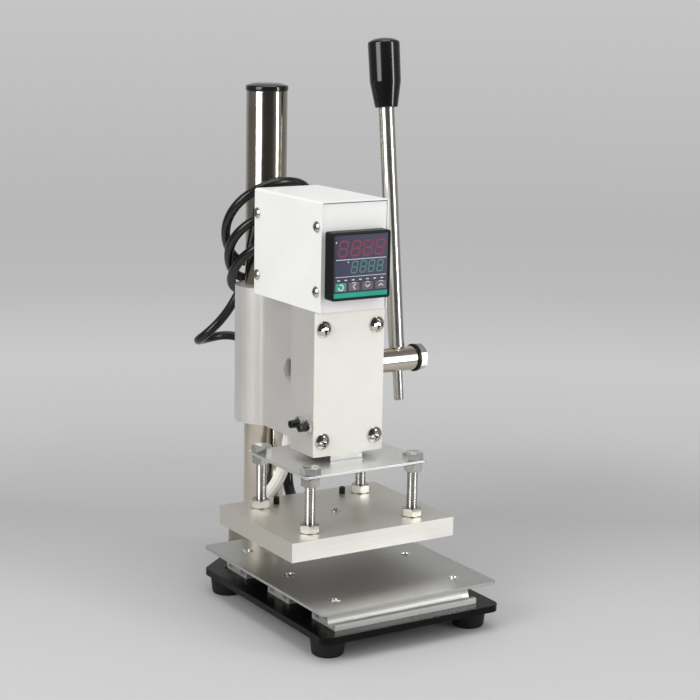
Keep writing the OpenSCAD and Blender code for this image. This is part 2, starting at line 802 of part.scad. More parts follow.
module gib_nuts() color("#c3c3c0")
    for (y = gib_screw_ys) translate([-block_w / 2, y, gib_screw_z]) facing_left()
        difference() {
            hex(gib_nut_af, gib_nut_t);
            translate([0, 0, gib_nut_t]) hole(gib_screw_d, gib_nut_t + over);
        }

module spring_anchor() color("#8a8a88")
    translate([-channel_left - anchor_reach + seat_gap, anchor_y - anchor_w / 2, head_top - anchor_t])
        cube([channel_left + channel_right + 2 * anchor_reach - 2 * seat_gap, anchor_w, anchor_t]);

module return_spring() color("#9a9a98")
    tube(spring_points, [0, 1, 0], [0, 1, 0], spring_wire, 6);

// Control box
module box_screw_places()
    for (y = box_screw_ys, z = box_screw_zs, s = [-1, 1])
        translate([s * box_w / 2, y, z]) rotate([0, s * 90, 0]) children();

module box_cover() color("#f3f2ee")
    difference() {
        translate([-box_w / 2, -box_front, box_z]) cube([box_w, box_d, box_h]);
        translate([-box_w / 2 + sheet_t, -box_front - over, box_z - over])
            cube([box_w - 2 * sheet_t, box_d + 2 * over, box_h - sheet_t + over]);
        box_screw_places() hole(box_screw_d, sheet_t + over);
    }

module side_flange(y)
    for (s = [-1, 1]) translate([s * (chassis_w - sheet_t) / 2, y, (box_z + chassis_top) / 2])
        cube([sheet_t, flange_w, chassis_top - box_z], center = true);

module box_chassis() color("#eceae4")
    difference() {
        union() {
            translate([-chassis_w / 2, panel_y, box_z])
                cube([chassis_w, rear_panel_y + sheet_t - panel_y, sheet_t]);
            for (y = [panel_y, rear_panel_y])
                translate([-chassis_w / 2, y, box_z]) cube([chassis_w, sheet_t, chassis_top - box_z]);
            side_flange(panel_y + flange_w / 2);
            side_flange(rear_panel_y + sheet_t - flange_w / 2);
        }
        translate([-cutout_w / 2, panel_y - over, face_z - cutout_w / 2])
            cube([cutout_w, sheet_t + 2 * over, cutout_w]);
        translate([-chamber_w / 2, chamber_y, box_z - over])
            cube([chamber_w, chamber_end - chamber_y, sheet_t + 2 * over]);
        translate([gland_x, rear_panel_y - over, gland_z]) rotate([-90, 0, 0])
            cylinder(d = gland_neck_d + 2 * seat_gap, h = sheet_t + 2 * over);
        box_screw_places() translate([0, 0, -sheet_t]) hole(box_screw_d, box_screw_l + over);
        for (p = floor_screws) translate([p[0], p[1], box_z + sheet_t]) hole(floor_screw_d, sheet_t + over);
    }

module box_screws() color("#b9b9b7")
    box_screw_places() pan_screw(box_screw_d, box_screw_l, box_screw_head);

module floor_screws() color("#b9b9b7")
    for (p = floor_screws) translate([p[0], p[1], box_z + sheet_t])
        pan_screw(floor_screw_d, floor_screw_l + sheet_t, floor_screw_head);

// Temperature controller
module controller_case() color("#232326")
    translate([-case_w / 2, panel_y, face_z - case_w / 2]) cube([case_w, case_d, case_w]);

module key_places() for (i = [0:3]) translate([(i - 1.5) * key_pitch, 0, key_z]) children();

module key_opening(y, depth)
    key_places() translate([-key_w / 2 - key_gap, y, -key_h / 2 - key_gap])
        cube([key_w + 2 * key_gap, depth, key_h + 2 * key_gap]);

module controller_bezel() color("#1b1b1d")
    difference() {
        translate([0, panel_y, face_z]) facing_front() round_plate(face_w, face_w, bezel_d, bezel_corner_r);
        translate([-window_w / 2 - seat_gap, face_y - over, face_z - window_w / 2 - seat_gap])
            cube([window_w + 2 * seat_gap, over + window_set + window_t, window_w + 2 * seat_gap]);
        key_opening(window_y + window_t - over, key_pocket_d + over);
    }

module controller_window() color("#22243a")
    difference() {
        translate([-window_w / 2, window_y, face_z - window_w / 2]) cube([window_w, window_t, window_w]);
        key_opening(window_y - over, window_t + 2 * over);
    }

module controller_clip() color("#2d2d30")
    difference() {
        translate([-clip_w / 2, panel_y + sheet_t, face_z - clip_w / 2]) cube([clip_w, clip_t, clip_w]);
        translate([-case_w / 2 - seat_gap, panel_y, face_z - case_w / 2 - seat_gap])
            cube([case_w + 2 * seat_gap, clip_t + 2 * over, case_w + 2 * seat_gap]);
    }

module key(i) translate([(i - 1.5) * key_pitch - key_w / 2, window_y - key_proud, key_z - key_h / 2])
    cube([key_w, key_d, key_h]);
module set_key() color("#1d6f63") key(0);
module shift_key() color("#5b5660") key(1);
module down_key() color("#5b5660") key(2);
module up_key() color("#5b5660") key(3);

// Mains cord
module cord_gland() color("#161616")
    translate([gland_x, 0, gland_z]) rotate([-90, 0, 0]) {
        outer = rear_panel_y + sheet_t;
        translate([0, 0, outer]) cylinder(d = gland_flange[0], h = gland_flange[1]);
        translate([0, 0, outer + gland_flange[1]])
            cylinder(d1 = gland_flange[0] - 2, d2 = gland_tip_d, h = gland_tip_y - outer - gland_flange[1]);
        translate([0, 0, rear_panel_y]) cylinder(d = gland_neck_d, h = sheet_t);
        translate([0, 0, rear_panel_y - gland_flange[1]])
            cylinder(d = gland_flange[0] - 1, h = gland_flange[1]);
    }

module cord_lead() color("#101010")
    tube(lead_path, [0, 1, 0], coil_heading(coil_first), cord_d, cord_sides);

module cord_coil() color("#101010")
    tube(coil_points, coil_heading(coil_first), coil_heading(coil_last), cord_d, coil_sides);

module cord_tail() color("#101010")
    tube(tail_path, coil_heading(coil_last), [0, 0, -1], cord_d, cord_sides);

plug_w = 27;
plug_t = 14;
plug_l = 32;
plug_neck = 12;
pin_d = 4.8;
pin_l = 19;
pin_pitch = 19;
module plug_body() color("#141414")
    translate([plug_x, plug_y, plug_top]) facing_down() {
        cylinder(d1 = cord_d + 2.5, d2 = plug_t - 2, h = plug_neck);
        translate([0, 0, plug_neck]) {
            translate([-(plug_w - plug_t) / 2, -plug_t / 2, 0])
                cube([plug_w - plug_t, plug_t, plug_l - plug_neck]);
            for (s = [-1, 1]) translate([s * (plug_w - plug_t) / 2, 0, 0])
                cylinder(d = plug_t, h = plug_l - plug_neck);
        }
    }

module plug_pins() color("#c8c8c4")
    for (s = [-1, 1]) translate([plug_x + s * pin_pitch / 2, plug_y, plug_top - plug_l - pin_l]) {
        translate([0, 0, pin_d / 2]) cylinder(d = pin_d, h = pin_l - pin_d / 2);
        translate([0, 0, pin_d / 2]) sphere(d = pin_d);
    }

// Ram with its rack, plates and heaters
module ram() color("#c6c6c4")
    difference() {
        translate([-ram_half, -ram_half, upper_top]) cube([ram_w, ram_w, ram_top - upper_top]);
        translate([0, 0, ram_top]) translate([0, 0, -spring_bore_depth])
            cylinder(r = spring_bore_r, h = spring_bore_depth + over);
        for (s = [-1, 1]) translate([0, s * plate_screw_y, upper_top]) facing_down()
            hole(plate_screw_d, plate_screw_l);
        for (z = rack_screw_zs) translate([0, ram_half, z]) rotate([-90, 0, 0])
            hole(rack_screw_d, rack_screw_in + 1);
    }

// Outline of the rack: first value towards the pinion, second along the rack
rack_slope = tan(pressure_angle);
rack_tooth_half = (tooth_pitch - backlash) / 4;
rack_teeth_each_way = 5;
function rack_tooth(z) = [
    [rack_root_y, z - rack_tooth_half - rack_slope * (rack_pitch_y - rack_root_y)],
    [rack_tip_y, z - rack_tooth_half + rack_slope * gear_module],
    [rack_tip_y, z + rack_tooth_half - rack_slope * gear_module],
    [rack_root_y, z + rack_tooth_half + rack_slope * (rack_pitch_y - rack_root_y)]
];

module rack() color("#a9a9a6")
    difference() {
        translate([-pinion_w / 2, 0, 0]) rotate([90, 0, 90]) linear_extrude(pinion_w) polygon(concat(
            [[ram_half, rack_mid_z - rack_half_l], [rack_root_y, rack_mid_z - rack_half_l]],
            [
                for (i = [-rack_teeth_each_way:rack_teeth_each_way])
                    each rack_tooth(rack_mid_z + i * tooth_pitch)
            ],
            [[rack_root_y, rack_mid_z + rack_half_l], [ram_half, rack_mid_z + rack_half_l]]
        ));
        for (z = rack_screw_zs) translate([0, rack_root_y, z]) rotate([-90, 0, 0])
            flat_screw_hole(rack_screw_d, rack_root_y - ram_half + over, rack_screw_head);
        for (z = rack_screw_zs) translate([0, rack_root_y, z]) rotate([-90, 0, 0])
            cylinder(d = rack_screw_head[0] + 2 * screw_gap, h = 4 * gear_module);
    }

module rack_screws() color("#77777a")
    for (z = rack_screw_zs) translate([0, rack_root_y, z]) rotate([-90, 0, 0])
        flat_screw(rack_screw_d, rack_root_y - ram_half + rack_screw_in, rack_screw_head);

module upper_plate() color("#b4b6b9")
    difference() {
        translate([0, 0, upper_z]) round_plate(upper_w, upper_d, upper_t, 2);
        at_each(bolt_places) translate([0, 0, upper_top]) hole(bolt_d, upper_t + over);
        for (s = [-1, 1]) translate([0, s * plate_screw_y, upper_top]) hole(plate_screw_d, upper_t + over);
    }

module plate_screws() color("#b9b9b7")
    for (s = [-1, 1]) translate([0, s * plate_screw_y, upper_z]) facing_down()
        pan_screw(plate_screw_d, plate_screw_l - over, plate_screw_head);

module standoff_bolts() color("#c4c2bb")
    at_each(bolt_places) translate([0, 0, upper_top]) {
        rotate(30) hex(bolt_af, bolt_head_h);
        translate([0, 0, -bolt_l]) cylinder(d = bolt_d, h = bolt_l);
    }

module nut(d, h) difference() {
    hex(bolt_af, h);
    translate([0, 0, h]) hole(d, h + over);
}
module standoff_nuts() color("#c9c6bc")
    for (z = [upper_z - nut_h, heat_top]) at_each(bolt_places) translate([0, 0, z]) nut(bolt_d, nut_h);

module heater_places() for (s = [-1, 1]) translate([s * heater_x, 0, 0]) children();

module heating_plate() color("#c3c0b6")
    difference() {
        translate([-heat_w / 2, -heat_d / 2, heat_z]) cube([heat_w, heat_d, heat_t]);
        at_each(bolt_places) translate([0, 0, heat_top]) hole(bolt_d, bolt_in_plate + 0.5);
        heater_places() translate([0, heater_y, heater_z]) rotate([-90, 0, 0])
            cylinder(d = heater_d + 2 * seat_gap, h = heater_l + over);
        heater_places() translate([0, set_screw_y, heat_top]) hole(set_screw_d, heat_t / 2);
        translate([0, heat_d / 2 - sensor_l, heater_z]) rotate([-90, 0, 0])
            cylinder(d = sensor_d + 2 * seat_gap, h = sensor_l + over);
        translate([0, 0, heat_top]) hole(plate_center_screw_d, plate_center_screw_l);
    }

module cartridge_heaters() color("#8f8d88")
    heater_places() translate([0, heater_y, heater_z]) rotate([-90, 0, 0])
        cylinder(d = heater_d, h = heater_l);

module heater_set_screws() color("#161616")
    heater_places() translate([0, set_screw_y, heat_top + set_screw_out]) difference() {
        length = set_screw_out + heat_t / 2 - heater_d / 2 - seat_gap;
        translate([0, 0, -length]) cylinder(d = set_screw_d, h = length);
        socket_cup(set_screw_d / 2, 2);
    }

module plate_center_screw() color("#c8c8c8")
    translate([0, 0, heat_top])
        pan_screw(plate_center_screw_d, plate_center_screw_l - seat_gap, plate_center_screw);

module heater_sleeve() color("#ece7d8")
    tube(sleeve_points, [0, 1, 0], [0, 0, 1], sleeve_d, lead_sides);

module sensor_lead() color("#151515")
    tube(sensor_points, [0, 1, 0], [0, 0, 1], sensor_lead_d, lead_sides);

module sensor_probe() color("#b9b9b7")
    translate([0, heat_d / 2 - sensor_l, heater_z]) rotate([-90, 0, 0]) cylinder(d = sensor_d, h = sensor_l);

// Lever and pinion: drawn about the shaft axis, leaning back by the rest angle
module on_shaft() translate([0, shaft_y, shaft_z]) children();
module on_lever() on_shaft() translate([lever_x, 0, 0]) rotate([-lever_lean, 0, 0]) children();

module pinion_shaft() color("#cdc7b8")
    difference() {
        on_shaft() translate([shaft_left, 0, 0]) rotate([0, 90, 0])
            cylinder(d = shaft_d, h = shaft_right - shaft_left);
        on_lever() translate([0, 0, -shaft_d]) cylinder(d = rod_stub_d + 2 * seat_gap, h = 2 * shaft_d);
        on_shaft() translate([shaft_left, 0, 0]) facing_left() hole(end_bolt_d, left_bolt_l + 0.5);
        on_shaft() translate([shaft_right, 0, 0]) facing_right()
            hole(end_bolt_d, right_bolt_l - spring_washer_t + 0.5);
    }

function involute(base_r, a) = base_r * [cos(a) + a * PI / 180 * sin(a), sin(a) - a * PI / 180 * cos(a)];
function involute_angle(base_r, r) = sqrt(r * r / (base_r * base_r) - 1) * 180 / PI;
function turned(p, a) = [p[0] * cos(a) - p[1] * sin(a), p[0] * sin(a) + p[1] * cos(a)];
flank_steps = 6;
module pinion_outline() {
    base_r = pitch_r * cos(pressure_angle);
    from = max(base_r, root_r);
    at_pitch = involute(base_r, involute_angle(base_r, pitch_r));
    half_tooth = 90 / pinion_teeth - backlash / 4 / pitch_r * 180 / PI;
    lean = atan2(at_pitch[1], at_pitch[0]) + half_tooth;
    flank = [
        for (i = [0:flank_steps])
            turned(involute(base_r, involute_angle(base_r, from + (tip_r - from) * i / flank_steps)), -lean)
    ];
    foot = unit(flank[0]) * root_r;
    right = concat([foot], flank);
    left = [for (i = [len(right) - 1:-1:0]) [right[i][0], -right[i][1]]];
    tooth = concat(right, left);
    polygon([for (k = [0:pinion_teeth - 1]) each [for (p = tooth) turned(p, 360 * k / pinion_teeth)]]);
}

module pinion_gear() color("#a9a9a6")
    on_shaft() translate([-pinion_w / 2, 0, 0]) rotate([0, 90, 0]) difference() {
        linear_extrude(pinion_w) rotate(-90 + 180 / pinion_teeth) pinion_outline();
        translate([0, 0, -over]) cylinder(d = shaft_d + 2 * seat_gap, h = pinion_w + 2 * over);
    }

rod_shoulder = shaft_d / 2 + seat_gap;
grip_end_wall = 8;
grip_bore_l = grip_l - grip_dome - grip_end_wall;
grip_waist_d = grip_d - 0.6;
grip_edge = 0.3;
module lever_rod() color("#c9c1b2")
    on_lever() {
        translate([0, 0, rod_shoulder])
            cylinder(d = rod_d, h = grip_from + grip_bore_l - rod_shoulder - seat_gap);
        translate([0, 0, -rod_stub_l]) cylinder(d = rod_stub_d, h = rod_stub_l + rod_shoulder + over);
    }

module lever_grip() color("#141414")
    on_lever() translate([0, 0, grip_from]) difference() {
        dome_foot = grip_d / 2 - grip_edge;
        dome = (dome_foot * dome_foot + grip_dome * grip_dome) / (2 * grip_dome);
        union() {
            cylinder(d1 = grip_neck_d, d2 = grip_waist_d, h = grip_taper_l);
            translate([0, 0, grip_taper_l])
                cylinder(d1 = grip_waist_d, d2 = grip_d, h = grip_l - grip_dome - grip_taper_l);
            intersection() {
                translate([0, 0, grip_l - grip_dome]) cylinder(d = grip_d, h = grip_dome);
                translate([0, 0, grip_l - dome]) sphere(r = dome);
            }
        }
        translate([0, 0, -over]) cylinder(d = rod_d + 2 * seat_gap, h = grip_bore_l + over);
    }

module end_bolt(l) {
    hex(end_bolt_af, end_bolt_head);
    translate([0, 0, -l]) cylinder(d = end_bolt_d, h = l);
}
module shaft_bolts() color("#d2cfc6")
    on_shaft() {
        translate([shaft_right + spring_washer_t, 0, 0]) facing_right() end_bolt(right_bolt_l);
        translate([shaft_left, 0, 0]) facing_left() rotate(30) end_bolt(left_bolt_l);
    }

module spring_washer() color("#3a3733")
    on_shaft() translate([shaft_right, 0, 0]) rotate([0, 90, 0]) difference() {
        cylinder(d = spring_washer_d, h = spring_washer_t);
        translate([0, 0, -over]) cylinder(d = end_bolt_d + 2 * screw_gap, h = spring_washer_t + 2 * over);
        translate([0, -0.6, -over]) cube([spring_washer_d, 1.2, spring_washer_t + 2 * over]);
    }

module placed() translate([-origin_x, -origin_y, 0]) children();

placed() base_plate();
placed() rubber_feet();
placed() foot_screws();
placed() rail_front();
placed() rail_middle();
placed() rail_rear();
placed() rail_screws();
placed() work_table();
placed() table_screws();
placed() column_boss();
placed() boss_screws();
placed() column();
placed() column_cap();
placed() head_body();
placed() clamp_bolts();
placed() front_cover_plate();
placed() front_cover_screws();
placed() gib_strip();
placed() gib_screws();
placed() gib_nuts();
placed() spring_anchor();
placed() return_spring();
placed() box_cover();
placed() box_chassis();
placed() box_screws();
placed() floor_screws();
placed() controller_case();
placed() controller_bezel();
placed() controller_window();
placed() controller_clip();
placed() set_key();
placed() shift_key();
placed() down_key();
placed() up_key();
placed() cord_gland();
placed() cord_lead();
placed() cord_coil();
placed() cord_tail();
placed() plug_body();
placed() plug_pins();
placed() ram();
placed() rack();
placed() rack_screws();
placed() upper_plate();
placed() plate_screws();
placed() standoff_bolts();
placed() standoff_nuts();
placed() heating_plate();
placed() cartridge_heaters();
placed() heater_set_screws();
placed() plate_center_screw();
placed() sensor_probe();
placed() heater_sleeve();
placed() sensor_lead();
placed() pinion_shaft();
placed() pinion_gear();
placed() lever_rod();
placed() lever_grip();
placed() shaft_bolts();
placed() spring_washer();
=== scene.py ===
# %% [markdown]
# # A bench hot foil stamping press
# The press has a black base on rubber feet, a work table on three rails, a nickel column and a
# head that slides on it. A lever turns a pinion, the pinion drives a rack on the ram, and the ram
# brings a heated plate down on the work. The solids are already made. This lesson gives each one
# its finish and its fine shapes: rounded edges, threads, screw slots, the display, the leads and
# the cord.

# %% Load the solids
import json
import math

import bmesh
import bpy
from mathutils import Matrix, Vector


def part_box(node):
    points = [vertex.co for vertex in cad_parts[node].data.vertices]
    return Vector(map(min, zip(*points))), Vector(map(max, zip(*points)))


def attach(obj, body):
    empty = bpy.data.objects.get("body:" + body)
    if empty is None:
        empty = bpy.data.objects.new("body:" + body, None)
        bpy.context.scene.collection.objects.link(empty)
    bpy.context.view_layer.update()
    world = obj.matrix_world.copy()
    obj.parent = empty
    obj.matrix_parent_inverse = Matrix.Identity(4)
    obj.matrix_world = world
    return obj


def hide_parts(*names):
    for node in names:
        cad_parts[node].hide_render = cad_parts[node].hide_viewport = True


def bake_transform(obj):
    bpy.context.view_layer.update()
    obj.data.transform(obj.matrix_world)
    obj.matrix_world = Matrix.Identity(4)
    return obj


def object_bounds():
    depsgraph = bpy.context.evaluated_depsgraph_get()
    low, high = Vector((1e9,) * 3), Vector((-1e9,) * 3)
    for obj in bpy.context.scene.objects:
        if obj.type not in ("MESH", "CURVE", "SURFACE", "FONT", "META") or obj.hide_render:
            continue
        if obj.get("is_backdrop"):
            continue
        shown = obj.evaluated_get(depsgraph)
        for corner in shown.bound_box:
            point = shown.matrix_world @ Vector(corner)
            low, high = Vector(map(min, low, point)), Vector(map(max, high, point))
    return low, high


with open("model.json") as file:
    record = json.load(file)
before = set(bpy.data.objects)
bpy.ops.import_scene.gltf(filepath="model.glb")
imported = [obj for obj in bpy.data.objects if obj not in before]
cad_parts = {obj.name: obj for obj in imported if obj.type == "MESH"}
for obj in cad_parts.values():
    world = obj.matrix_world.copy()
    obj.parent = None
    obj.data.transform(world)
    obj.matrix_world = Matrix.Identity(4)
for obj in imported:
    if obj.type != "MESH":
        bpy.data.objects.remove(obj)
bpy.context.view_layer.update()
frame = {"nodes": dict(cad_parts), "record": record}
MM = 0.001
scene = bpy.context.scene
body_of_node = {
    node: body for body, nodes in frame["record"]["behaviour"]["bodies"].items() for node in nodes
}

# %% [markdown]
# A press is drawn about the axis of its ram. The solids stand with their box centred on the
# origin, so the ram's own box tells where that axis is. With one helper, every place below can be
# read in millimetres from the ram's axis and from the floor, as on a workshop drawing.

# %% Places in millimetres
ram_low, ram_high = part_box("ram")
ram_axis = (ram_low + ram_high) / 2


def at(x, y, z):
    """A point in the frame, from millimetres off the ram's axis and above the floor."""
    return Vector((ram_axis.x + x * MM, ram_axis.y + y * MM, z * MM))


def span(node):
    """Lowest and highest corner of a solid, in millimetres from the ram's axis and the floor."""
    low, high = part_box(node)
    shift = Vector((ram_axis.x, ram_axis.y, 0))
    return (low - shift) / MM, (high - shift) / MM


print("ram axis at", [round(v / MM, 2) for v in ram_axis.xy])

# %% [markdown]
# The camera is solved once, from straight edges whose sizes are known, and then kept. A lens shift
# stands for a picture that was cropped a little off the lens axis. Writing the camera as angles
# and a place keeps it readable, and the three axes are worked out from them.

# %% Camera
PHOTO_SIDE = 700
SENSOR = 36
camera_place = at(-664.9, -1075.2, 447)
camera_azimuth = math.radians(-31.83)
camera_elevation = math.radians(11.53)
camera_roll = math.radians(1.017)
focal_px = 1801
lens_axis_px = (341.6, 350.3)

back = Vector((
    math.sin(camera_azimuth) * math.cos(camera_elevation),
    -math.cos(camera_azimuth) * math.cos(camera_elevation),
    math.sin(camera_elevation),
))
level = Vector((0, 0, 1)).cross(back).normalized()
upright = back.cross(level)
camera_x = level * math.cos(camera_roll) + upright * math.sin(camera_roll)
camera_y = upright * math.cos(camera_roll) - level * math.sin(camera_roll)
camera_data = bpy.data.cameras.new("camera")
camera_data.sensor_width = SENSOR
camera_data.lens = SENSOR * focal_px / PHOTO_SIDE
camera_data.shift_x = (PHOTO_SIDE / 2 - lens_axis_px[0]) / PHOTO_SIDE
camera_data.shift_y = (lens_axis_px[1] - PHOTO_SIDE / 2) / PHOTO_SIDE
camera_data.clip_end = 50
camera = bpy.data.objects.new("camera", camera_data)
scene.collection.objects.link(camera)
turn = Matrix((camera_x, camera_y, back)).transposed().to_4x4()
camera.matrix_world = Matrix.Translation(camera_place) @ turn
scene.camera = camera
scene.view_settings.view_transform = "Standard"
print("lens", round(camera_data.lens, 1), "mm")

# %% [markdown]
# Node graphs are long when each node is placed and linked by hand. A Wire is one output of a node,
# and arithmetic on it adds Math nodes, so a shader formula reads like a formula. Both orders of
# each operation are there, because 1 - mask has to work as well as mask - 1.

# %% Wires


class Wire:
    """One output of a node. Arithmetic on it adds Math nodes to its graph."""

    def __init__(self, graph, socket):
        self.graph = graph
        self.socket = socket

    def maths(self, operation, first, second):
        return self.graph.node("ShaderNodeMath", {"operation": operation}, {0: first, 1: second})

    def __add__(self, other):
        return self.maths("ADD", self, other)

    def __radd__(self, other):
        return self.maths("ADD", other, self)

    def __sub__(self, other):
        return self.maths("SUBTRACT", self, other)

    def __rsub__(self, other):
        return self.maths("SUBTRACT", other, self)

    def __mul__(self, other):
        return self.maths("MULTIPLY", self, other)

    def __rmul__(self, other):
        return self.maths("MULTIPLY", other, self)

    def __truediv__(self, other):
        return self.maths("DIVIDE", self, other)

    def __rtruediv__(self, other):
        return self.maths("DIVIDE", other, self)


print("wire helper ready")

# %% [markdown]
# A Graph holds a node tree and has one method that makes any node, from its type, its settings and
# what goes into its sockets. Settings come first, because some of them change which sockets a node
# has. Materials, the world and the recipes for screws all use it.

# %% Graphs


class Graph:
    """A node tree, with one method that adds any node to it."""

    def __init__(self, tree):
        self.tree = tree

    def node(self, kind, settings=None, sockets=None, out=0):
        made = self.tree.nodes.new(kind)
        for name, value in (settings or {}).items():
            if name == "stops":
                self.set_stops(made.color_ramp, value)
            else:
                setattr(made, name, value)
        for name, value in (sockets or {}).items():
            for one in value if isinstance(value, list) else [value]:
                self.feed(made.inputs[name], one)
        return Wire(self, made.outputs[out]) if len(made.outputs) else made

    def feed(self, socket, value):
        if isinstance(value, Wire):
            self.tree.links.new(value.socket, socket)
        else:
            socket.default_value = value

    def set_stops(self, ramp, stops):
        while len(ramp.elements) < len(stops):
            ramp.elements.new(0.5)
        for element, (position, color) in zip(ramp.elements, stops):
            element.position = position
            element.color = color


print("graph helper ready")

# %% [markdown]
# A finish is a Principled surface and the few patterns that vary it: noise stretched along the way
# the metal was drawn or brushed, a ramp that turns noise into tones, and a bump. All of them read
# Object coordinates in metres, so a noise scale of 1000 gives marks of about a millimetre on every
# piece alike.

# %% Finishes: the helper


def tone(red, green, blue):
    """A colour from the 0 to 255 values that a picture shows, as linear light."""
    shares = (red / 255, green / 255, blue / 255)
    linear = [((v + 0.055) / 1.055) ** 2.4 if v > 0.0404 else v / 12.92 for v in shares]
    return (*linear, 1.0)


class Finish(Graph):
    """A procedural material."""

    def __init__(self, name):
        self.material = bpy.data.materials.new(name)
        self.material.use_nodes = True
        super().__init__(self.material.node_tree)
        self.tree.nodes.clear()
        self.place = self.node("ShaderNodeTexCoord", out="Object")

    def along(self, axis, vector=None):
        """One coordinate of the place, or of another vector."""
        return self.node("ShaderNodeSeparateXYZ", {}, {"Vector": vector or self.place}, out=axis)

    def noise(self, scale, stretch=(1, 1, 1), detail=3.0, roughness=0.5):
        inputs = {"Vector": self.place, "Scale": stretch}
        spot = self.node("ShaderNodeMapping", {}, inputs, out="Vector")
        inputs = {"Vector": spot, "Scale": scale, "Detail": detail, "Roughness": roughness}
        return self.node("ShaderNodeTexNoise", {}, inputs, out="Fac")

    def ramp(self, value, *stops):
        return self.node("ShaderNodeValToRGB", {"stops": stops}, {"Fac": value}, out="Color")

    def mix(self, factor, first, second):
        inputs = {0: factor, 6: first, 7: second}
        return self.node("ShaderNodeMix", {"data_type": "RGBA"}, inputs, out=2)

    def bump(self, height, depth_mm, strength=1.0):
        inputs = {"Height": height, "Distance": depth_mm * MM, "Strength": strength}
        return self.node("ShaderNodeBump", {}, inputs, out="Normal")

    def surface(self, inputs):
        shader = self.node("ShaderNodeBsdfPrincipled", {}, inputs)
        self.node("ShaderNodeOutputMaterial", {}, {"Surface": shader})
        return self.material


print("finish helper ready")

# %% [markdown]
# Metals first. Bare metal is a mirror that is blurred by its marks, so the tone hardly varies and
# the roughness and the bump do the work. Extruded and brushed stock has long marks, so its noise
# is stretched: a small number along the marks and a large one across them.

# %% Metal finishes


def drawn_metal(name, color, dark, rough, along, depth_mm, metallic=1.0):
    """Metal with long marks. Along gives the noise scale on each axis, small along the marks."""
    finish = Finish(name)
    marks = finish.noise(1.0, along, 4.0, 0.6)
    smudge = finish.noise(38.0, detail=2.0)
    color_wire = finish.ramp(marks * 0.7 + smudge * 0.3, (0.3, dark), (0.7, color))
    return finish.surface({
        "Base Color": color_wire,
        "Metallic": metallic,
        "Roughness": marks * 0.10 + smudge * 0.10 + (rough - 0.10),
        "Normal": finish.bump(marks, depth_mm, 0.35),
    })


def smooth_metal(name, color, dark, rough):
    """Plated or polished metal with faint handling marks."""
    finish = Finish(name)
    smudge = finish.noise(55.0, detail=3.0)
    fine = finish.noise(900.0, detail=2.0)
    return finish.surface({
        "Base Color": finish.ramp(smudge, (0.3, dark), (0.7, color)),
        "Metallic": 1.0,
        "Roughness": smudge * 0.08 + fine * 0.04 + (rough - 0.06),
        "Normal": finish.bump(fine, 0.004, 0.3),
    })


print("metal helpers ready")

# %% [markdown]
# Each metal of the press is one call: plating on the screws and the column, brass on the gib
# strip, black oxide on small screws, and bare aluminium and steel. The stretch follows the way a
# piece was made, so the marks stand upright on the head's extrusion, lie along the plates and run
# round the boss.

# %% Metals of the press
zinc_steel = smooth_metal("zinc_steel", tone(226, 225, 220), tone(205, 203, 196), 0.24)
bright_zinc = smooth_metal("bright_zinc", tone(236, 235, 231), tone(220, 219, 213), 0.13)
nickel = smooth_metal("nickel", tone(226, 218, 204), tone(214, 205, 190), 0.13)
warm_nickel = smooth_metal("warm_nickel", tone(222, 215, 202), tone(206, 198, 184), 0.24)
gib_brass = smooth_metal("gib_brass", tone(205, 170, 100), tone(180, 145, 85), 0.32)
black_oxide = smooth_metal("black_oxide", tone(62, 60, 58), tone(40, 38, 37), 0.38)
worn_oxide = smooth_metal("worn_oxide", tone(86, 86, 88), tone(64, 64, 66), 0.30)
tool_steel = drawn_metal(
    "tool_steel", tone(190, 190, 188), tone(160, 160, 158), 0.36, (900, 900, 60), 0.01)
table_steel = drawn_metal(
    "table_steel", tone(202, 202, 200), tone(184, 184, 182), 0.32, (12, 1500, 900), 0.01)
# The boss's tone is darker and more olive than bare aluminium: partly its own colour, partly painted
# shade for its low place behind the heating plate.
turned_aluminium = drawn_metal(
    "turned_aluminium", tone(168, 166, 152), tone(144, 142, 129), 0.30, (40, 40, 2200), 0.015)
head_aluminium = drawn_metal(
    "head_aluminium", tone(233, 230, 226), tone(222, 219, 214), 0.44, (1100, 1100, 14), 0.02, 0.6)
upper_aluminium = drawn_metal(
    "upper_aluminium", tone(238, 239, 238), tone(228, 229, 228), 0.32, (16, 1200, 1200), 0.012,
    0.85)
rod_nickel = smooth_metal("rod_nickel", tone(246, 244, 239), tone(238, 235, 229), 0.24)
nut_zinc = smooth_metal("nut_zinc", tone(204, 202, 196), tone(186, 184, 177), 0.22)
print("metals of one tone:", len(bpy.data.materials))

# %% [markdown]
# Two aluminium pieces change over their own surface, and both carry painted light. A rail's tone
# follows the height on the rail: bright on its lips, with painted shade up the walls behind them
# and under the table's edge. The heating plate's tone follows the way a face points: faces towards
# the front or the back get a painted lit tone, the top and the sides a darker shaded one. Both
# could be separate materials on separate faces, but a ramp keeps each piece to one material and
# one mesh.

# %% Finishes of the rails and the heating plate


def rail_finish():
    """An extruded rail, with painted light: bright on its outer lips, with painted shade up the
    walls.
    """
    finish = Finish("rail_aluminium")
    marks = finish.noise(1.0, (14, 1300, 1300), 4.0, 0.6)
    rail_low, rail_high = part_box("rail_front")
    share = (finish.along("Z") - rail_low.z) / (rail_high.z - rail_low.z)
    # Painted shade: the tone falls from the bright lips to a dark band up the wall, and lifts a
    # little under the table.
    wall = finish.ramp(
        share, (0.29, tone(246, 245, 241)), (0.34, tone(196, 195, 190)), (0.6, tone(150, 149, 145)),
        (1.0, tone(186, 185, 181)))
    return finish.surface({
        "Base Color": finish.mix(marks * 0.3, wall, tone(190, 189, 185)),
        "Metallic": 0.7,
        "Roughness": marks * 0.10 + 0.30,
        "Normal": finish.bump(marks, 0.02, 0.35),
    })


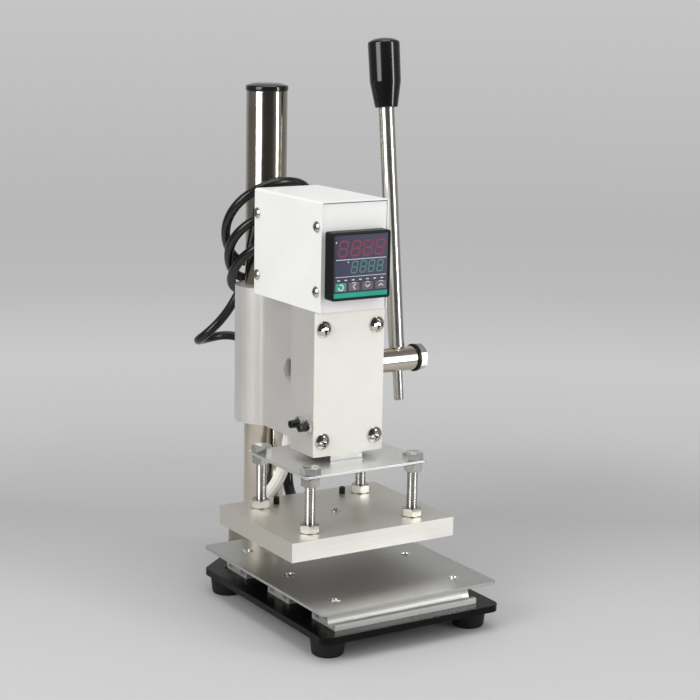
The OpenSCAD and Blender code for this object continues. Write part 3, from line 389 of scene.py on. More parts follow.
def plate_finish():
    """A sawn plate, with painted light: its front and rear faces bright, its top and sides darker.
    """
    finish = Finish("heat_aluminium")
    marks = finish.noise(1.0, (16, 1200, 1200), 4.0, 0.6)
    normal = finish.node("ShaderNodeTexCoord", out="Normal")
    across = finish.along("Y", normal)
    # Painted light: faces that point to the front or the back take the lit tone, the others the
    # shaded one.
    shaded_tone = finish.ramp(marks, (0.3, tone(203, 199, 190)), (0.7, tone(215, 212, 203)))
    lit_tone = finish.ramp(marks, (0.3, tone(241, 238, 231)), (0.7, tone(249, 247, 241)))
    return finish.surface({
        "Base Color": finish.mix(across * across, shaded_tone, lit_tone),
        "Metallic": 0.75,
        "Roughness": marks * 0.10 + 0.34,
        "Normal": finish.bump(marks, 0.015, 0.35),
    })


rail_aluminium, heat_aluminium = rail_finish(), plate_finish()
print("rail and plate:", rail_aluminium.name, heat_aluminium.name)

# %% [markdown]
# Paint, plastic and rubber are not mirrors: they have a colour of their own under a clear skin.
# Powder coat has a faint orange peel, moulded plastic a fine grain, and rubber is dull and dusty.
# One function makes all of them from a colour, a roughness and a grain.

# %% Painted and moulded finishes


def coated(name, color, dark, rough, grain, depth_mm, coat=0.0, shine=0.5):
    """A painted or moulded surface: soft tone changes, and a grain of the given scale."""
    finish = Finish(name)
    smudge = finish.noise(30.0, detail=2.0)
    peel = finish.noise(grain, detail=2.0)
    return finish.surface({
        "Base Color": finish.ramp(smudge, (0.3, dark), (0.7, color)),
        "Roughness": smudge * 0.12 + peel * 0.06 + (rough - 0.09),
        "Specular IOR Level": shine,
        "Coat Weight": coat,
        "Coat Roughness": 0.08,
        "Normal": finish.bump(peel, depth_mm, 0.4),
    })


print("paint helper ready")

# %% [markdown]
# The rest of the press is painted, moulded or printed, and each of these finishes is one call too.
# Dark finishes get a low shine, because black paint under soft light shows its colour and not the
# studio. Glossy moulded pieces get a clear coat.

# %% Paints, plastics and prints
black_paint = coated("black_paint", tone(12, 12, 12), tone(8, 8, 8), 0.26, 700.0, 0.03, 0.0, 0.12)
foot_rubber = coated(
    "foot_rubber", tone(28, 28, 29), tone(19, 19, 20), 0.62, 1400.0, 0.05, 0.0, 0.25)
ivory_paint = coated("ivory_paint", tone(237, 235, 228), tone(233, 230, 222), 0.40, 900.0, 0.01)
white_paint = coated("white_paint", tone(241, 241, 240), tone(237, 237, 235), 0.42, 900.0, 0.02)
black_gloss = coated("black_gloss", tone(24, 24, 25), tone(17, 17, 18), 0.16, 500.0, 0.01, 0.5)
controller_plastic = coated(
    "controller_plastic", tone(22, 23, 25), tone(16, 17, 18), 0.42, 2200.0, 0.02, 0.0, 0.22)
window_gloss = coated(
    "window_gloss", tone(58, 58, 82), tone(50, 50, 73), 0.12, 400.0, 0.002, 0.0, 0.08)
key_teal = coated("key_teal", tone(38, 148, 130), tone(30, 132, 116), 0.36, 1800.0, 0.015)
key_grey = coated("key_grey", tone(108, 101, 106), tone(95, 89, 94), 0.40, 1800.0, 0.015, 0.0, 0.3)
cord_pvc = coated("cord_pvc", tone(26, 26, 27), tone(18, 18, 19), 0.26, 600.0, 0.02, 0.2)
print_white = coated("print_white", tone(226, 228, 232), tone(214, 216, 222), 0.45, 1500.0, 0.005)
print_red = coated("print_red", tone(146, 62, 88), tone(130, 52, 76), 0.45, 1500.0, 0.005, 0.0, 0.2)
print_green = coated(
    "print_green", tone(92, 142, 138), tone(78, 126, 122), 0.45, 1500.0, 0.005, 0.0, 0.2)
band_teal = coated(
    "band_teal", tone(30, 172, 146), tone(24, 158, 133), 0.50, 1500.0, 0.005, 0.0, 0.25)
print("painted and moulded:", len(bpy.data.materials))

# %% [markdown]
# The painted panels of the control box stop short of the bent cover, and the shade in the gap shows
# as a thin dark line. The real gap is too fine to show well as an opening, so painted shade darkens
# the paint close to the panel's edge, on faces that point forwards or back. Two distances are
# compared, one to the sides and one to the top.

# %% Finish of the panels


def panel_finish():
    """The painted panels of the box, with painted shade for the gap between their edges and the
    cover.
    """
    finish = Finish("panel_paint")
    smudge = finish.noise(30.0, detail=2.0)
    peel = finish.noise(900.0, detail=2.0)
    low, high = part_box("box_chassis")
    off_middle = finish.along("X") - (low.x + high.x) / 2
    faced = finish.along("Y", finish.node("ShaderNodeTexCoord", out="Normal"))
    side_gap, top_gap, blur = 0.4 * MM, 0.8 * MM, 0.3 * MM
    to_side = off_middle.maths("MAXIMUM", off_middle, off_middle * -1)
    past_side = (to_side - ((high.x - low.x) / 2 - side_gap)) / blur
    past_top = (finish.along("Z") - (high.z - top_gap)) / blur
    # Painted shade of the gap: within a fraction of a millimetre of the edge the paint turns dark
    # grey.
    gap_shade = past_side.maths("MAXIMUM", past_side, past_top) * faced * faced
    paint = finish.ramp(smudge, (0.3, tone(237, 237, 235)), (0.7, tone(241, 241, 240)))
    return finish.surface({
        "Base Color": finish.mix(gap_shade, paint, tone(70, 69, 67)),
        "Roughness": smudge * 0.12 + peel * 0.06 + 0.33,
        "Normal": finish.bump(peel, 0.02, 0.4),
    })


panel_paint = panel_finish()
print("panels:", panel_paint.name)

# %% [markdown]
# The sleeve over the heater wires is braided from glass yarn. A braid is two sets of diagonal
# threads that lie over and under each other, so two waves are multiplied: one climbs as it goes
# round, the other falls. They read the tube's own UV map, which runs round and along, so the braid
# follows every bend.

# %% Finish of the braided sleeve
YARNS_ROUND = 12
YARN_RISE = 1900.0


def braid_finish():
    """A pale glass braid with a little fuzz."""
    finish = Finish("glass_sleeve")
    spot = finish.node("ShaderNodeUVMap", {}, {}, out="UV")
    turns, length = finish.along("X", spot), finish.along("Y", spot)
    turned_by, climbed = turns * (2 * math.pi * YARNS_ROUND), length * YARN_RISE
    one_way = turned_by.maths("SINE", turned_by + climbed, 0.0)
    other_way = turned_by.maths("SINE", turned_by - climbed, 0.0)
    weave = one_way * other_way * 0.5 + 0.5
    fuzz = finish.noise(700.0, detail=3.0)
    return finish.surface({
        "Base Color": finish.ramp(
            weave * 0.6 + fuzz * 0.4, (0.2, tone(232, 228, 218)), (0.8, tone(247, 245, 239))),
        "Roughness": 0.72,
        "Normal": finish.bump(weave + fuzz * 0.5, 0.05, 0.4),
    })


glass_sleeve = braid_finish()
print("finishes in all:", len(bpy.data.materials))

# %% [markdown]
# Every finished piece goes through the same last steps: it is linked, shaded smooth with its edges
# kept sharp, set to move with its body, and its solids are hidden. Two helpers take these steps,
# so no piece can forget one.

# %% Settling a piece
SHARP = math.radians(32)


def new_piece(name, mesh, finish):
    """An object at the origin with one material. Its place is in its mesh."""
    mesh.shade_smooth()
    mesh.set_sharp_from_angle(angle=SHARP)
    mesh.materials.clear()
    mesh.materials.append(finish)
    piece = bpy.data.objects.new(name, mesh)
    scene.collection.objects.link(piece)
    return piece


def settle(piece, *nodes):
    """The piece moves with its solid's body and stands for the named solids, which are hidden."""
    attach(piece, body_of_node[nodes[0]])
    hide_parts(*nodes)
    return piece


def add_on(piece, node):
    """The piece lies on a solid's stand-in and moves with it."""
    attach(piece, body_of_node[node])
    return piece


def mesh_of(shape, name):
    """Turns a bmesh into mesh data with its faces pointing outwards."""
    bmesh.ops.recalc_face_normals(shape, faces=shape.faces)
    mesh = bpy.data.meshes.new(name)
    shape.to_mesh(mesh)
    shape.free()
    return mesh


print("bodies:", sorted(set(body_of_node.values())))

# %% [markdown]
# A cord lies in one smooth line. A Bezier curve could be drawn by hand, but its handles are hard
# to set in a script. Here the line goes through chosen points: Catmull-Rom curves pass through
# every point without corners, and a few rounds of averaging even out the bends.

# %% Smooth lines


def smooth_line(points, step, passes=5):
    """Points a step apart along Catmull-Rom curves, with the bends evened out."""
    ends = [2 * points[0] - points[1], *points, 2 * points[-1] - points[-2]]
    line = []
    for a, b, c, d in zip(ends, ends[1:], ends[2:], ends[3:]):
        count = max(2, round((c - b).length / step))
        for i in range(count):
            t = i / count
            line.append(0.5 * (
                2 * b + (c - a) * t + (2 * a - 5 * b + 4 * c - d) * t * t
                + (3 * b - a - 3 * c + d) * t ** 3))
    line.append(points[-1])
    for _ in range(passes):
        evened = [(a + 2 * b + c) / 4 for a, b, c in zip(line, line[1:], line[2:])]
        line = [line[0], *evened, line[-1]]
    return line


def line_length(line):
    return sum((b - a).length for a, b in zip(line, line[1:]))


print("line helpers ready")

# %% [markdown]
# A cord or lead is one section carried along its line. A curve with a bevel would give a tube too,
# but its rings can twist in a coil and its UV map doesn't run in metres. Here each ring keeps the
# last ring's side, so the tube does not twist, and the UV map runs round it and along it.

# %% Tubes


def tube(name, line, radius_at, sides):
    """A closed tube round a line. The function radius_at takes a share of a turn."""
    shape = bmesh.new()
    padded = [line[0], *line, line[-1]]
    heads = [(after - before).normalized() for before, after in zip(padded, padded[2:])]
    side = heads[0].orthogonal().normalized()
    rings = []
    for center, head in zip(line, heads):
        side = (side - head * side.dot(head)).normalized()
        other = head.cross(side)
        turns = [2 * math.pi * k / sides for k in range(sides)]
        ways = [math.cos(t) * side + math.sin(t) * other for t in turns]
        rings.append([
            shape.verts.new(center + radius_at(k / sides) * way) for k, way in enumerate(ways)
        ])
    uv = shape.loops.layers.uv.new("along")
    far = 0.0
    for i, (ring, after) in enumerate(zip(rings, rings[1:])):
        near, far = far, far + (line[i + 1] - line[i]).length
        for k in range(sides):
            nxt = (k + 1) % sides
            face = shape.faces.new((ring[k], ring[nxt], after[nxt], after[k]))
            corners = ((k, near), (k + 1, near), (k + 1, far), (k, far))
            for loop, (turn_k, y) in zip(face.loops, corners):
                loop[uv].uv = (turn_k / sides, y)
    shape.faces.new(list(reversed(rings[0])))
    shape.faces.new(rings[-1])
    return mesh_of(shape, name)


print("tube helper ready")

# %% [markdown]
# The mains cord is stored as the photograph shows it: the slack is wound round the column in loops
# that are high at the front and sag at the back, one loop hangs out to the side, and the rest
# falls to the plug behind the column. The loops follow one formula, so their number and size can
# be changed in one place. The bends are tight for a mains lead, about two diameters, because the
# cord is wound on the column.

# %% Mains cord
CORD_D = 7.0
GLAND_X, GLAND_END_Y, GLAND_Z = 19, 98, 232.5
gland_tip = at(GLAND_X, GLAND_END_Y, GLAND_Z)
plug_top = at(22, 145, 94.5)
lead_route = [
    (19.2, 104.6, 232.6), (20.8, 112, 229.9), (23.8, 120, 223.7), (23.4, 128, 217.5),
    (17.4, 134.8, 213.3), (7, 138.8, 211.3), (-4.5, 138.6, 211.9), (-13.8, 133.6, 216.1),
    (-20.3, 125.6, 223.1), (-23.4, 116, 231.3), (-24, 106, 240), (-20.8, 97, 248),
    (-14.5, 90.6, 253.9), (-7, 87.5, 256.7),
]
tail_route = [
    (30.5, 121.5, 263.5), (25.5, 131.5, 252), (19, 140.5, 240.5), (11, 146, 228.5),
    (3.5, 148.5, 215.5), (-4.5, 149, 202), (-12.5, 149, 191.5), (-20.5, 150.2, 183.1),
    (-26.5, 154.5, 176.1), (-28.4, 162, 171.1), (-25.6, 170.6, 168.1), (-18.4, 177.4, 166.9),
    (-8, 181, 167.3), (3, 181.6, 168.1), (13, 178.8, 167.1), (20.4, 172.6, 162.1),
    (24.2, 164.4, 152.9), (24.8, 156, 141.1), (23.6, 149.4, 128.1), (22.3, 145.8, 115.5),
    (22, 145, 104.5),
]
COIL_FIRST, COIL_LAST, COIL_RINGS = 0.5, 2.75, 24


def coil_point(t):
    """The loops round the column, by the number of turns from their start."""
    turned_by = 2 * math.pi * (t - 0.5)
    half_width = 26 + 2.7 * t
    front_z, rear_z = 246.3 + 21.9 * t, 208.2 + 12.8 * t
    x = half_width * math.sin(turned_by) * (1 + 0.24 * math.cos(turned_by))
    y = 87 + 24.7 * (1 - math.cos(turned_by))
    z = (front_z + rear_z) / 2 + (front_z - rear_z) / 2 * math.cos(turned_by)
    return at(x, y, z)


coil_steps = round((COIL_LAST - COIL_FIRST) * COIL_RINGS)
coil_route = [coil_point(COIL_FIRST + i / COIL_RINGS) for i in range(coil_steps + 1)]
lead, tail = ([at(*p) for p in route] for route in (lead_route, tail_route))
cord_route = [gland_tip, *lead, *coil_route, *tail, plug_top]
cord_line = smooth_line(cord_route, 3 * MM)
cord_mesh = tube("mains_cord", cord_line, lambda share: CORD_D / 2 * MM, 20)
mains_cord = new_piece("mains_cord", cord_mesh, cord_pvc)
settle(mains_cord, "cord_lead", "cord_coil", "cord_tail")
print("cord length", round(line_length(cord_line), 3), "m, rings", len(cord_line))

# %% [markdown]
# Real edges are never quite sharp: a lathe tool, a press brake or a mould leaves a small radius,
# and that radius catches the light. This helper takes an outline of corners and puts a short arc
# in place of each. A Bevel modifier could do it later, but here every corner gets a radius of its
# own.

# %% Rounded outlines


def rounded(points, radii, steps=5, closed=False):
    """An outline with an arc of the given radius at each corner. A radius of 0 keeps the corner."""
    made = []
    count = len(points)
    for i, (corner, radius) in enumerate(zip(points, radii)):
        if radius <= 0 or (not closed and i in (0, count - 1)):
            made.append(Vector(corner))
            continue
        here = Vector(corner)
        to_last = (Vector(points[i - 1]) - here).normalized()
        to_next = (Vector(points[(i + 1) % count]) - here).normalized()
        half = to_last.angle(to_next) / 2
        reach = radius / math.tan(half)
        center = here + (to_last + to_next).normalized() * radius / math.sin(half)
        first, last = here + to_last * reach - center, here + to_next * reach - center
        sweep = math.atan2(first.cross(last), first.dot(last))
        for k in range(steps + 1):
            a = sweep * k / steps
            c, s = math.cos(a), math.sin(a)
            made.append(center + Vector((first.x * c - first.y * s, first.x * s + first.y * c)))
    return made


print("outline helper ready")

# %% [markdown]
# Turned pieces are an outline spun round an axis, as on a lathe. The outline is a list of radius
# and height. The Screw modifier does the same for one piece, but a helper can spin several
# outlines into one mesh, round any axis, and it closes the poles.

# %% Turned pieces


def spin(shape, outline, origin, axis, sides=72):
    """Adds a turned form to a bmesh: outline in millimetres of radius and height along the axis."""
    axis = Vector(axis).normalized()
    side = axis.orthogonal().normalized()
    other = axis.cross(side)
    rings = []
    for radius, height in outline:
        center = origin + axis * height * MM
        if radius < 1e-6:
            rings.append([shape.verts.new(center)])
            continue
        turns = [2 * math.pi * k / sides for k in range(sides)]
        ways = [math.cos(t) * side + math.sin(t) * other for t in turns]
        rings.append([shape.verts.new(center + radius * MM * way) for way in ways])
    for ring, after in zip(rings, rings[1:]):
        for k in range(sides):
            nxt = (k + 1) % sides
            corners = [ring[k % len(ring)], ring[nxt % len(ring)]]
            corners += [after[nxt % len(after)], after[k % len(after)]]
            unique = list(dict.fromkeys(corners))
            if len(unique) > 2:
                shape.faces.new(unique)
    return rings


def turned(name, outline, origin, axis, finish, sides=72):
    """One turned piece."""
    shape = bmesh.new()
    spin(shape, outline, origin, axis, sides)
    return new_piece(name, mesh_of(shape, name), finish)


print("turning helper ready")

# %% [markdown]
# The column is a nickel plated tube. It stands in a turned boss on the base and is closed by a
# moulded cap. All three are round about one upright axis, so each is an outline spun round it.
# Radii and heights are read from the solids, and the outlines add the small edge radii that a
# lathe or a mould leaves.

# %% Column, cap and boss
SEAT = 0.05
column_low, column_high = span("column")
boss_low, boss_high = span("column_boss")
cap_low, cap_high = span("column_cap")
column_y = (column_low.y + column_high.y) / 2
column_r = (column_high.x - column_low.x) / 2
COLUMN_WALL = 2.5
column_foot = at(0, column_y, column_low.z)
column_l = column_high.z - column_low.z
bore_r = column_r - COLUMN_WALL
column_outline = rounded(
    [(bore_r, 0), (column_r, 0), (column_r, column_l), (bore_r, column_l), (bore_r, 0)],
    [0, 0.5, 0.5, 0.3, 0], 3)
settle(turned("column_tube", column_outline, column_foot, (0, 0, 1), nickel, 128), "column")

CAP_STEM_L = 14
cap_r = (cap_high.x - cap_low.x) / 2
cap_h = cap_high.z - column_high.z
cap_outline = rounded(
    [(0, -CAP_STEM_L), (bore_r - SEAT, -CAP_STEM_L), (bore_r - SEAT, 0), (cap_r, 0),
     (cap_r, cap_h - 2.2), (cap_r * 0.62, cap_h - 0.5), (0, cap_h)],
    [0, 1, 0, 0.5, 1.6, 9, 0], 5)
cap = turned("cap", cap_outline, at(0, column_y, column_high.z), (0, 0, 1), black_gloss, 96)
settle(cap, "column_cap")

boss_r = (boss_high.x - boss_low.x) / 2
boss_h = boss_high.z - boss_low.z
boss_bore_r = column_r + SEAT
boss_outline = rounded(
    [(boss_bore_r, 0), (boss_r, 0), (boss_r, boss_h), (boss_bore_r, boss_h), (boss_bore_r, 0)],
    [0, 0.3, 1.2, 0.5, 0], 4)
boss = turned("boss", boss_outline, at(0, column_y, boss_low.z), (0, 0, 1), turned_aluminium, 96)
settle(boss, "column_boss")
print("column", round(2 * column_r, 1), "mm across,", round(column_l, 1), "mm long")

# %% [markdown]
# The press stands on four rubber feet: tapered pucks with a recess below for the head of a screw.
# Moulded rubber has soft edges, so the outline's corners get large radii. The one outline is spun
# at four places into one mesh, because the feet are alike and never move apart.

# %% Rubber feet
feet_low, feet_high = span("rubber_feet")
FOOT_TOP_R, FOOT_FLOOR_R, FOOT_RECESS_R, FOOT_RECESS_H = 12.5, 11.0, 4.0, 1.5
foot_h = feet_high.z - feet_low.z
foot_outline = rounded(
    [(0, FOOT_RECESS_H), (FOOT_RECESS_R, FOOT_RECESS_H), (FOOT_RECESS_R, 0), (FOOT_FLOOR_R, 0),
     (FOOT_TOP_R, foot_h), (0, foot_h)],
    [0, 0, 0.6, 2.2, 0.8, 0], 5)
foot_xs = (feet_low.x + FOOT_TOP_R, feet_high.x - FOOT_TOP_R)
foot_ys = (feet_low.y + FOOT_TOP_R, feet_high.y - FOOT_TOP_R)
feet_shape = bmesh.new()
for foot_x in foot_xs:
    for foot_y in foot_ys:
        spin(feet_shape, foot_outline, at(foot_x, foot_y, 0), (0, 0, 1), 64)
feet = new_piece("feet", mesh_of(feet_shape, "feet"), foot_rubber)
settle(feet, "rubber_feet")
print("feet at x", [round(x, 1) for x in foot_xs], "y", [round(y, 1) for y in foot_ys])

# %% [markdown]
# The lever is drawn along its own leaning axis, so its outlines stay plain lists of radius and
# length and only the axis leans. The rod is plain bar with a thinner end through the shaft. The
# grip is a moulded black knob: a taper at the rod, a long body and a shallow dome.

# %% Lever rod and grip
shaft_low, shaft_high = span("pinion_shaft")
shaft_r = (shaft_high.z - shaft_low.z) / 2
LEVER_X = 75.0
LEVER_LEAN = math.radians(6.8)
ROD_R, ROD_STUB_R, ROD_STUB_L, ROD_IN_GRIP = 6.0, 3.75, 31.0, 12
GRIP_FROM, GRIP_L, GRIP_TAPER_L, GRIP_DOME = 189.0, 52.0, 19.5, 3.2
GRIP_NECK_R, GRIP_WAIST_R, GRIP_R = 8.5, 11.7, 12.0
shaft_axis = at(0, (shaft_low.y + shaft_high.y) / 2, (shaft_low.z + shaft_high.z) / 2)
lever_root = shaft_axis + Vector((LEVER_X * MM, 0, 0))
lever_axis = Vector((0, math.sin(LEVER_LEAN), math.cos(LEVER_LEAN)))
rod_top = GRIP_FROM + ROD_IN_GRIP
rod_outline = rounded(
    [(0, -ROD_STUB_L), (ROD_STUB_R, -ROD_STUB_L), (ROD_STUB_R, shaft_r), (ROD_R, shaft_r),
     (ROD_R, rod_top), (0, rod_top)],
    [0, 0.8, 0, 0.6, 0, 0], 4)
rod = turned("rod", rod_outline, lever_root, lever_axis, rod_nickel, 64)
settle(rod, "lever_rod")
grip_top = GRIP_L - GRIP_DOME
grip_outline = rounded(
    [(ROD_R + SEAT, 0.6), (GRIP_NECK_R, 0), (GRIP_WAIST_R, GRIP_TAPER_L), (GRIP_R, grip_top),
     (GRIP_R * 0.62, GRIP_L - 0.9), (0, GRIP_L)],
    [0, 0.9, 14, 2.4, 12, 0], 7)
grip_root = lever_root + lever_axis * GRIP_FROM * MM
grip = turned("grip", grip_outline, grip_root, lever_axis, black_gloss, 96)
settle(grip, "lever_grip")
lever_top = lever_root + lever_axis * (GRIP_FROM + GRIP_L) * MM
print("lever reaches", round(lever_top.z / MM, 1), "mm up")

# %% [markdown]
# Pieces cut from plate, bar or extrusion keep the solid's own shape, and only need what every real
# edge has: a small break that catches light. A copy of the solid's mesh has its loose triangles
# merged into whole faces, and a Bevel modifier then breaks each sharp edge by the given width.

# %% Dressing copies of the solids


def break_edges(piece, edge_mm, segments, over_degrees):
    """Breaks the sharp edges, and lets the large faces rule the shading so that they stay flat."""
    edge = piece.modifiers.new("edge", "BEVEL")
    edge.width = edge_mm * MM
    edge.segments = segments
    edge.limit_method = "ANGLE"
    edge.angle_limit = math.radians(over_degrees)
    shading = piece.modifiers.new("shading", "WEIGHTED_NORMAL")
    shading.keep_sharp = True


def dress(node, finish, edge_mm, segments=2):
    """A copy of a solid with merged faces and broken edges."""
    shape = bmesh.new()
    shape.from_mesh(frame["nodes"][node].data)
    bmesh.ops.remove_doubles(shape, verts=shape.verts, dist=0.001 * MM)
    bmesh.ops.dissolve_limit(
        shape, angle_limit=math.radians(0.4), verts=shape.verts, edges=shape.edges, delimit=set())
    mesh = bpy.data.meshes.new(node + "_dressed")
    shape.to_mesh(mesh)
    shape.free()
    piece = new_piece(node + "_dressed", mesh, finish)
    break_edges(piece, edge_mm, segments, 40)
    return settle(piece, node)


print("dressing helpers ready")

# %% [markdown]
# Which pieces are made that way, with what finish and how wide an edge, is a table. Painted and
# moulded pieces have wide, soft edges, ground and extruded ones have narrow edges, and gear teeth
# have next to none.

# %% Dressed pieces
dressed = {
    "base_plate": (black_paint, 1.3, 4),
    "rail_front": (rail_aluminium, 0.35, 2),
    "rail_middle": (rail_aluminium, 0.35, 2),
    "rail_rear": (rail_aluminium, 0.35, 2),
    "work_table": (table_steel, 0.3, 2),
    "head_body": (head_aluminium, 0.5, 2),
    "front_cover_plate": (ivory_paint, 0.4, 2),
    "gib_strip": (gib_brass, 0.3, 2),
    "spring_anchor": (zinc_steel, 0.3, 2),
    "box_chassis": (panel_paint, 0.45, 3),
    "controller_case": (controller_plastic, 0.6, 3),
    "controller_clip": (controller_plastic, 0.5, 2),
    "ram": (tool_steel, 0.5, 2),
    "rack": (tool_steel, 0.12, 1),
    "pinion_gear": (tool_steel, 0.12, 1),
    "upper_plate": (upper_aluminium, 0.35, 2),
    "heating_plate": (heat_aluminium, 0.6, 3),
    "cartridge_heaters": (tool_steel, 0.4, 2),
    "sensor_probe": (zinc_steel, 0.4, 2),
    "pinion_shaft": (nickel, 0.5, 3),
    "spring_washer": (black_oxide, 0.3, 2),
}
for node, (finish, edge_mm, segments) in dressed.items():
    dress(node, finish, edge_mm, segments)
print("dressed copies:", len(dressed))

# %% [markdown]
# The box cover is one sheet bent into a U, and a bent sheet has a round outside corner and a
# smaller inside one. Its outline is drawn once, across the box, and pulled along the box's depth.
# A Bevel on the solid would round both corners alike, which no bent sheet does.

# %% Box cover
cover_low, cover_high = span("box_cover")
SHEET_T, BEND_R = 1.0, 1.8
half_w = (cover_high.x - cover_low.x) / 2
inner_w = half_w - SHEET_T
cover_outline = rounded(
    [(-half_w, cover_low.z), (-half_w, cover_high.z), (half_w, cover_high.z), (half_w, cover_low.z),
     (inner_w, cover_low.z), (inner_w, cover_high.z - SHEET_T), (-inner_w, cover_high.z - SHEET_T),
     (-inner_w, cover_low.z)],
    [0, BEND_R, BEND_R, 0, 0, BEND_R - SHEET_T, BEND_R - SHEET_T, 0], 6, True)
cover_shape = bmesh.new()
cover_ys = (cover_low.y, cover_high.y)
near, far = ([cover_shape.verts.new(at(p.x, y, p.y)) for p in cover_outline] for y in cover_ys)
for i in range(len(near)):
    j = (i + 1) % len(near)
    cover_shape.faces.new((near[i], near[j], far[j], far[i]))
cover_shape.faces.new(near)
cover_shape.faces.new(far)
cover = new_piece("cover", mesh_of(cover_shape, "cover"), white_paint)
break_edges(cover, 0.2, 2, 60)
settle(cover, "box_cover")
print("cover", [round(v, 1) for v in cover_high - cover_low], "mm")

# %% [markdown]
# Screws, bolts and nuts repeat, so each kind is a recipe in Geometry Nodes with its sizes as named
# inputs. The tree builds one fastener, sets it on every point the way that point faces, makes the
# instances real and gives them their finish. The result is then kept as a plain mesh, because an
# export drops instances.

# %% Recipes for fasteners


class Recipe(Graph):
    """A Geometry Nodes tree that builds one form and sets it on each point."""

    def __init__(self, name, sizes):
        tree = bpy.data.node_groups.new(name, "GeometryNodeTree")
        super().__init__(tree)
        tree.interface.new_socket("Places", in_out="INPUT", socket_type="NodeSocketGeometry")
        tree.interface.new_socket("Finish", in_out="INPUT", socket_type="NodeSocketMaterial")
        for size in sizes:
            tree.interface.new_socket(size, in_out="INPUT", socket_type="NodeSocketFloat")
        tree.interface.new_socket("Made", in_out="OUTPUT", socket_type="NodeSocketGeometry")
        self.inputs = tree.nodes.new("NodeGroupInput")

    def size(self, name):
        return Wire(self, self.inputs.outputs[name])

    def lifted(self, shape, height):
        up = self.node("ShaderNodeCombineXYZ", {}, {"Z": height})
        return self.node("GeometryNodeTransform", {}, {"Geometry": shape, "Translation": up})

    def rod(self, radius, height, low=0.0, top=None, sides=40):
        """A cylinder on the height low, or a cone where the top's radius is given."""
        inputs = {"Vertices": sides, "Radius Bottom": radius, "Depth": height}
        inputs["Radius Top"] = radius if top is None else top
        return self.lifted(self.node("GeometryNodeMeshCone", {}, inputs, out="Mesh"), low)

    def block(self, x, y, z, low):
        size = self.node("ShaderNodeCombineXYZ", {}, {"X": x, "Y": y, "Z": z})
        cube = self.node("GeometryNodeMeshCube", {}, {"Size": size}, out="Mesh")
        return self.lifted(cube, low + z / 2)

    def boolean(self, operation, inputs):
        settings = {"operation": operation, "solver": "EXACT"}
        return self.node("GeometryNodeMeshBoolean", settings, inputs, out="Mesh")

    def cut(self, shape, *tools):
        return self.boolean("DIFFERENCE", {"Mesh 1": shape, "Mesh 2": list(tools)})

    def common(self, *shapes):
        return self.boolean("INTERSECT", {"Mesh 2": list(shapes)})

    def joined(self, *shapes):
        return self.node("GeometryNodeJoinGeometry", {}, {"Geometry": list(shapes)})

    def spread(self, shape):
        """Ends the tree: one copy on each place, made real, with its finish."""
        kind, settings = "GeometryNodeInputNamedAttribute", {"data_type": "FLOAT_VECTOR"}
        facing, side = (self.node(kind, settings, {"Name": name}) for name in ("facing", "side"))
        tilt = self.node("FunctionNodeAlignRotationToVector", {"axis": "Z"}, {"Vector": facing})
        turn = self.node("FunctionNodeAlignRotationToVector", {"axis": "X", "pivot_axis": "Z"},
                         {"Rotation": tilt, "Vector": side})
        copies = self.node("GeometryNodeInstanceOnPoints", {},
                           {"Points": self.size("Places"), "Instance": shape, "Rotation": turn})
        real = self.node("GeometryNodeRealizeInstances", {}, {"Geometry": copies})
        inputs = {"Geometry": real, "Material": self.size("Finish")}
        made = self.node("GeometryNodeSetMaterial", {}, inputs)
        self.node("NodeGroupOutput", {}, {"Made": made})
        return self.tree


print("recipe helper ready")

# %% [markdown]
# Two kinds of screw have a cross slot. A pan head is the part of a flat cylinder that lies inside
# a large ball, and a countersunk head is a cone. Both are cut by the same slot. Exact booleans are
# chosen because the heads are only a few millimetres across, where the quick ones lose faces.

# %% Recipes for slotted screws
HEAD_AND_SHANK = ("Head width", "Head height", "Shank width", "Shank length")
SLOT_SHARE = 0.26


def cross_slot(recipe, width, depth, top):
    """The tools that cut a cross slot: two bars and a round pit where they meet."""
    low = top - depth
    long = recipe.block(width, width * SLOT_SHARE, depth * 2, low)
    wide = recipe.block(width * SLOT_SHARE, width, depth * 2, low)
    return long, wide, recipe.rod(width * 0.3, depth * 2, low - depth * 0.2, width * 0.3, 16)


def pan_screw():
    """A domed head with a cross slot. Zero height is under the head."""
    recipe = Recipe("pan_screw", HEAD_AND_SHANK)
    width, height, shank, length = (recipe.size(name) for name in HEAD_AND_SHANK)
    rise = height * 0.7
    dome_r = (width * width / 4 + rise * rise) / (rise * 2)
    inputs = {"Segments": 48, "Rings": 72, "Radius": dome_r}
    ball = recipe.node("GeometryNodeMeshUVSphere", {}, inputs, out="Mesh")
    head = recipe.common(recipe.rod(width / 2, height * 1.2), recipe.lifted(ball, height - dome_r))
    head = recipe.cut(head, *cross_slot(recipe, width * 0.6, height * 0.6, height))
    return recipe.spread(recipe.joined(head, recipe.rod(shank / 2, length, 0 - length)))


def flat_screw():
    """A countersunk head with a cross slot. Zero height is its flat top."""
    recipe = Recipe("flat_screw", HEAD_AND_SHANK)
    width, height, shank, length = (recipe.size(name) for name in HEAD_AND_SHANK)
    head = recipe.rod(shank / 2, height, 0 - height, width / 2)
    head = recipe.cut(head, *cross_slot(recipe, width * 0.6, height * 0.5, 0 * height))
    return recipe.spread(recipe.joined(head, recipe.rod(shank / 2, length - height, 0 - length)))


recipes = {"pan": pan_screw(), "flat": flat_screw()}
print("recipes:", {name: len(tree.nodes) for name, tree in recipes.items()})

# %% [markdown]
# Bolts, nuts and grub screws are hexagons and threads. The corners of a real hexagon are turned
# off to a cone, so the prism is what a six sided rod and a cone have in common. A thread is a rod
# with a ridge wound round it, which is lighter than a cut thread and catches light the same way.

# %% Hexagons and threads


